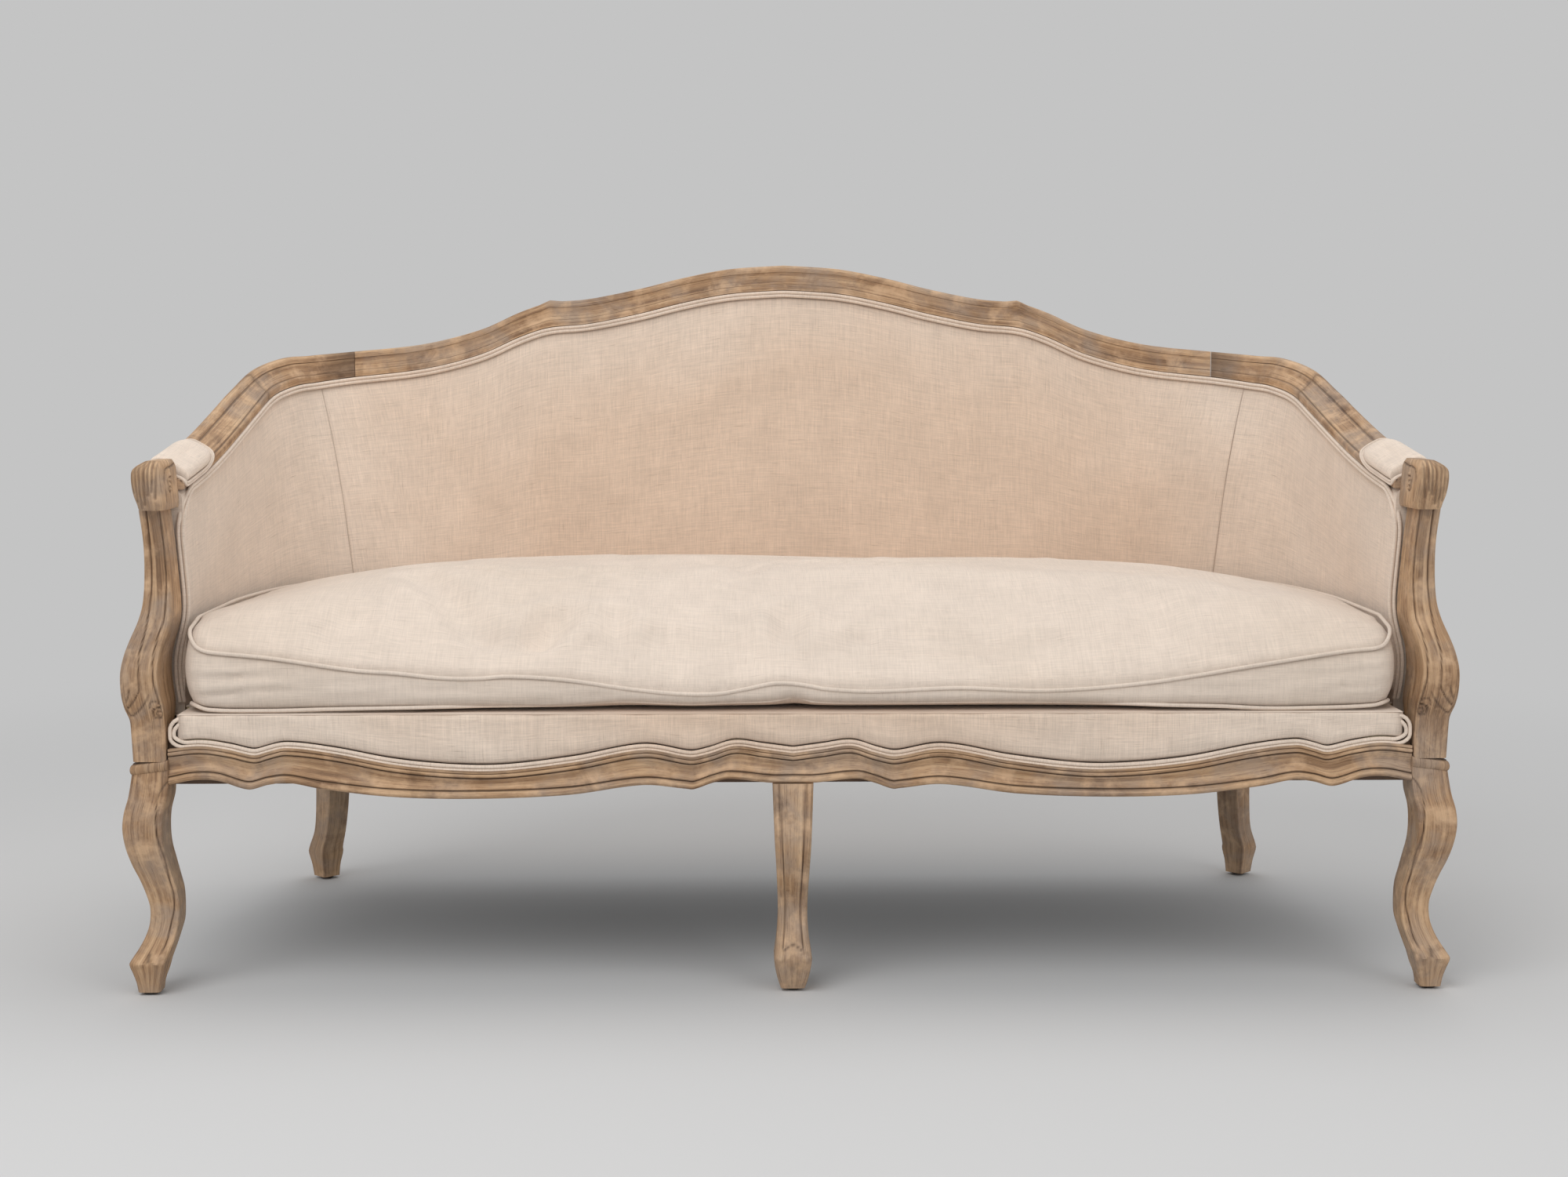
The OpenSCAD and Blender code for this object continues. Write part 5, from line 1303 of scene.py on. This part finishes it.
def cushion_cover():
    """Boxed cover, puffed out by its filling, then creased as it lies in the photo."""
    rings, seams = cushion_rings()
    body = shell(rings)
    mesh = bpy.data.meshes.new("cushion_cover_shown")
    mesh.from_pydata(body["points"].tolist(), [], body["faces"])
    obj = add_object(mesh.name, mesh)
    face_outwards(mesh)
    remesh = obj.modifiers.new("even", "REMESH")
    remesh.mode, remesh.voxel_size = "VOXEL", CLOTH_PITCH
    apply_modifiers(obj)
    co = coordinates(obj)
    on_deck = np.clip((CUSHION_LOW_Z + 0.004 - co[:, 2]) / 0.002, 0, 1)
    co = inflate(obj, np.maximum(np.clip(1.3 - nearest(co, seams) / 0.012, 0, 1), on_deck))
    co = creased(co)
    mesh = obj.data
    mesh.vertices.foreach_set("co", co.ravel())
    co = coordinates(obj)
    # Painted shade along the seams of the welts
    paint_shade_and_stain(mesh, np.clip(0.32 - nearest(co, seams) / 0.045, 0, 0.3))
    face_outwards(mesh)
    layer = mesh.uv_layers.new(name="surface")
    uv = np.empty((len(mesh.loops), 2))
    for poly in mesh.polygons:
        x, y, z = map(abs, poly.normal)
        axes = [0, 1] if z > 0.62 else [0, 2] if y > x else [1, 2]
        for k in poly.loop_indices:
            uv[k] = co[mesh.loops[k].vertex_index][axes]
    layer.data.foreach_set("uv", uv.ravel())
    dress(obj, SEAT_LINEN, "seat_cushion", "cushion_cover")
    soften = obj.modifiers.new("soften", "SUBSURF")
    soften.levels = soften.render_levels = 1
    return obj


def cushion_insert():
    """Feather filling, a little smaller than its cover."""
    low = np.array([0, CUSHION_MIDDLE_Y, CUSHION_LOW_Z + 0.002])
    inner = mix(low, cushion_rings()[0] + np.array([0, 0, 0.002]), np.array([0.975, 0.95, 0.62]))
    return piece("cushion_insert", [shell(inner)], TICKING, "seat_cushion")


def add_cushion():
    cushion_cover()
    cushion_insert()
    edge = cushion_outline(WELT_D / 2)
    low = np.column_stack([edge, [CUSHION_LOW_Z + foot_rise(*p) + WELT_D / 2 for p in edge]])
    tucked = np.clip((TUCKED_HALF - np.abs(edge[:, 0])) / TUCKED_FADE, 0, 1) * (edge[:, 1] < CUSHION_MIDDLE_Y)
    low[:, 1] += TUCKED_DEEP * tucked
    top = np.column_stack([edge, [DECK_Z + welt_rise(*p) for p in edge]])
    for node, path in (("cushion_welt_bottom", low), ("cushion_welt_top", top)):
        piece(node, [loop_shell(path, (0.0, 0.0, 1.0), WELT_D / 2, 12)], SEAT_LINEN, "seat_cushion")


# Assembly

EDGE_EASE = 0.0015
# Cloths of the seat: node, what it rests on, finish, and width, length and area of the flat cut
SEAT_CLOTHS = (("spring_cover", "zigzag_springs_shown", JUTE, (1.678, 0.645), 1.046),
               ("deck_cover", "deck_foam", BACK_LINEN, (1.681, 0.657), 1.066),
               ("dust_cover", "front_rail_batten", CAMBRIC, (1.761, 0.675), 1.127))


def finish_node(name, finish, bevel=0.0):
    """Keeps a CAD node in view, with its finish and eased edges."""
    obj = NODES[name]
    obj.data.materials.clear()
    obj.data.materials.append(finish.material)
    if bevel:
        ease = obj.modifiers.new("ease", "BEVEL")
        ease.width, ease.segments, ease.limit_method = bevel, 2, "ANGLE"
        ease.angle_limit = radians(35)


def add_show_wood():
    pair("front_leg", [corner_leg(), ring_moulding()], OAK)
    piece("front_leg_middle", [middle_leg()], OAK)
    pair("back_leg", [back_leg()], OAK)
    pair("arm_stump", [arm_stump()], OAK)
    pair("armrest", [knuckle(), rail_shell(0, SCARF_SHARE - JOINT_GAP_SHARE, joint_stain)], OAK)
    pair("top_corner", [rail_shell(SCARF_SHARE, JOINT_SHARE - JOINT_GAP_SHARE, joint_stain)], OAK)
    piece("top_rail", [rail_shell(JOINT_SHARE, 1 - JOINT_SHARE)], OAK)
    piece("front_rail", [front_rail()], OAK)
    pair("side_rail", [seat_rail(0, RAIL_END_SHARE, PANEL_FRONT_Y - LEG_Y - LEG_BLOCK / 2 - GAP)], OAK)
    piece("back_rail", [seat_rail(RAIL_END_SHARE + JOINT_GAP_SHARE, 1 - RAIL_END_SHARE - JOINT_GAP_SHARE)], OAK)


def add_upholstery():
    stitches = seam_stitches(SEAM_SHARE) + seam_stitches(1 - SEAM_SHARE)
    cover = padded_cover(*BACK_SPAN, BACK_SPAN)
    piece("inside_back_cover", [cover] + stitches, BACK_LINEN)
    cover = padded_cover(*ARM_SPAN, BACK_SPAN[:1])
    covers = pair("inside_arm_cover", [cover], BACK_LINEN)
    cover = outer_cover(*BACK_SPAN)
    piece("outside_back_cover", [cover], BACK_LINEN)
    cover = outer_cover(*ARM_SPAN)
    covers = pair("outside_arm_cover", [cover], BACK_LINEN)
    piece("back_welt", [back_welt(0), back_welt(1)], BACK_LINEN)
    piece("back_foam", [inner_padding(*BACK_SPAN)], FOAM)
    for pad in pair("arm_foam", [inner_padding(0.002, SEAM_SHARE - 0.001)], FOAM):
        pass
    for pad in pair("arm_pad", [arm_pad()], BACK_LINEN):
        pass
    pair("arm_pad_welt", [pad_welt(*reach) for reach in PAD_WELTS], BACK_LINEN)
    piece("front_border", [front_border()], BACK_LINEN)
    piece("seat_welt", [seat_welt(0), seat_welt(1)], BACK_LINEN)


def add_hidden():
    piece("zigzag_springs", spring_shells(), STEEL)
    piece("back_webbing", [strap(share) for share in STRAP_SHARES], JUTE)
    piece("foot_glides", glide_shells(), GLIDE)
    # Batten in the darker oak of painted shade
    finish_node("front_rail_batten", BATTEN_SHADE_OAK, EDGE_EASE)
    for name in ("seat_brace", "corner_blocks", "back_post_left", "back_post_right",
                 "back_stays", "arm_tack_rail_left", "arm_tack_rail_right", "back_tack_rail"):
        finish_node(name, PINE, EDGE_EASE)
    for name in ("corner_block_screws", "spring_clips", "cushion_zip"):
        finish_node(name, STEEL)
    finish_node("deck_foam", FOAM)
    for name, under, finish, flat, area in SEAT_CLOTHS:
        finish_node(name, finish)


# Floor, light and camera

BACKDROP = (0.552, 0.552, 0.552, 1)
FLOOR = (0.62, 0.62, 0.62, 1)
FLOOR_SIZE, FADE_START, FADE_END = 60, 1.3, 3.2
# Place, size and power of the lamps
LAMPS = {"key": ((-1.6, -2.6, 3.4), 3.2, 70), "fill": ((2.6, -3.0, 2.2), 3.0, 26),
         "top": ((0.4, 0.8, 3.6), 3.0, 30)}
LIT_PLACE = Vector((0, 0, 0.5))
CAMERA_PLACE, CAMERA_DOWN, CAMERA_TURN = (-0.0639, -3.3168, 0.862), 5.87, 1.0
CAMERA_LENS, CAMERA_SENSOR = 50.4, 36


def studio():
    """Pale floor that fades into the backdrop, and white light all round, seen as pale grey."""
    f = Finish("studio_floor")
    f.join(FLOOR, f.surface.inputs["Base Color"])
    f.join(0.9, f.surface.inputs["Roughness"])
    far = f.node("MapRange", {"Value": f.vector("LENGTH", f.place(), output="Value"), "From Min": FADE_START,
                              "From Max": FADE_END}, interpolation_type="SMOOTHSTEP").outputs["Result"]
    seen = f.math("MULTIPLY", far, f.node("LightPath", {}).outputs["Is Camera Ray"])
    f.show("Material Output", seen, f.surface, f.node("Emission", {"Color": BACKDROP}))
    bpy.ops.mesh.primitive_plane_add(size=FLOOR_SIZE, location=(0, 0, 0))
    floor = bpy.context.object
    floor.name = "studio_floor"
    floor.data.materials.append(f.material)
    world = bpy.context.scene.world = bpy.data.worlds.new("studio")
    w = Nodes(world)
    around = w.tree.nodes["Background"]
    w.join((1, 1, 1, 1), around.inputs["Color"])
    w.join(0.55, around.inputs["Strength"])
    path = w.node("LightPath", {}).outputs
    seen = w.math("MAXIMUM", path["Is Camera Ray"], path["Is Glossy Ray"])
    w.show("World Output", seen, around, w.node("Background", {"Color": BACKDROP}))
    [lamp(name, *facts) for name, facts in LAMPS.items()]


def lamp(name, location, size, power):
    data = bpy.data.lights.new(name, "AREA")
    data.shape, data.size, data.energy = "DISK", size, power
    obj = add_object(name, data)
    obj.location = location
    obj.rotation_euler = (LIT_PLACE - Vector(location)).to_track_quat("-Z", "Y").to_euler()
    return obj


def camera():
    data = bpy.data.cameras.new("photo")
    data.sensor_width, data.lens = CAMERA_SENSOR, CAMERA_LENS
    obj = add_object("photo", data)
    obj.location = CAMERA_PLACE
    obj.rotation_euler = (radians(90 - CAMERA_DOWN), 0, -radians(CAMERA_TURN))
    scene = bpy.context.scene
    scene.camera = obj
    scene.view_settings.view_transform, scene.view_settings.look = "Standard", "None"


add_show_wood()
add_upholstery()
add_hidden()
add_cushion()
studio()
camera()
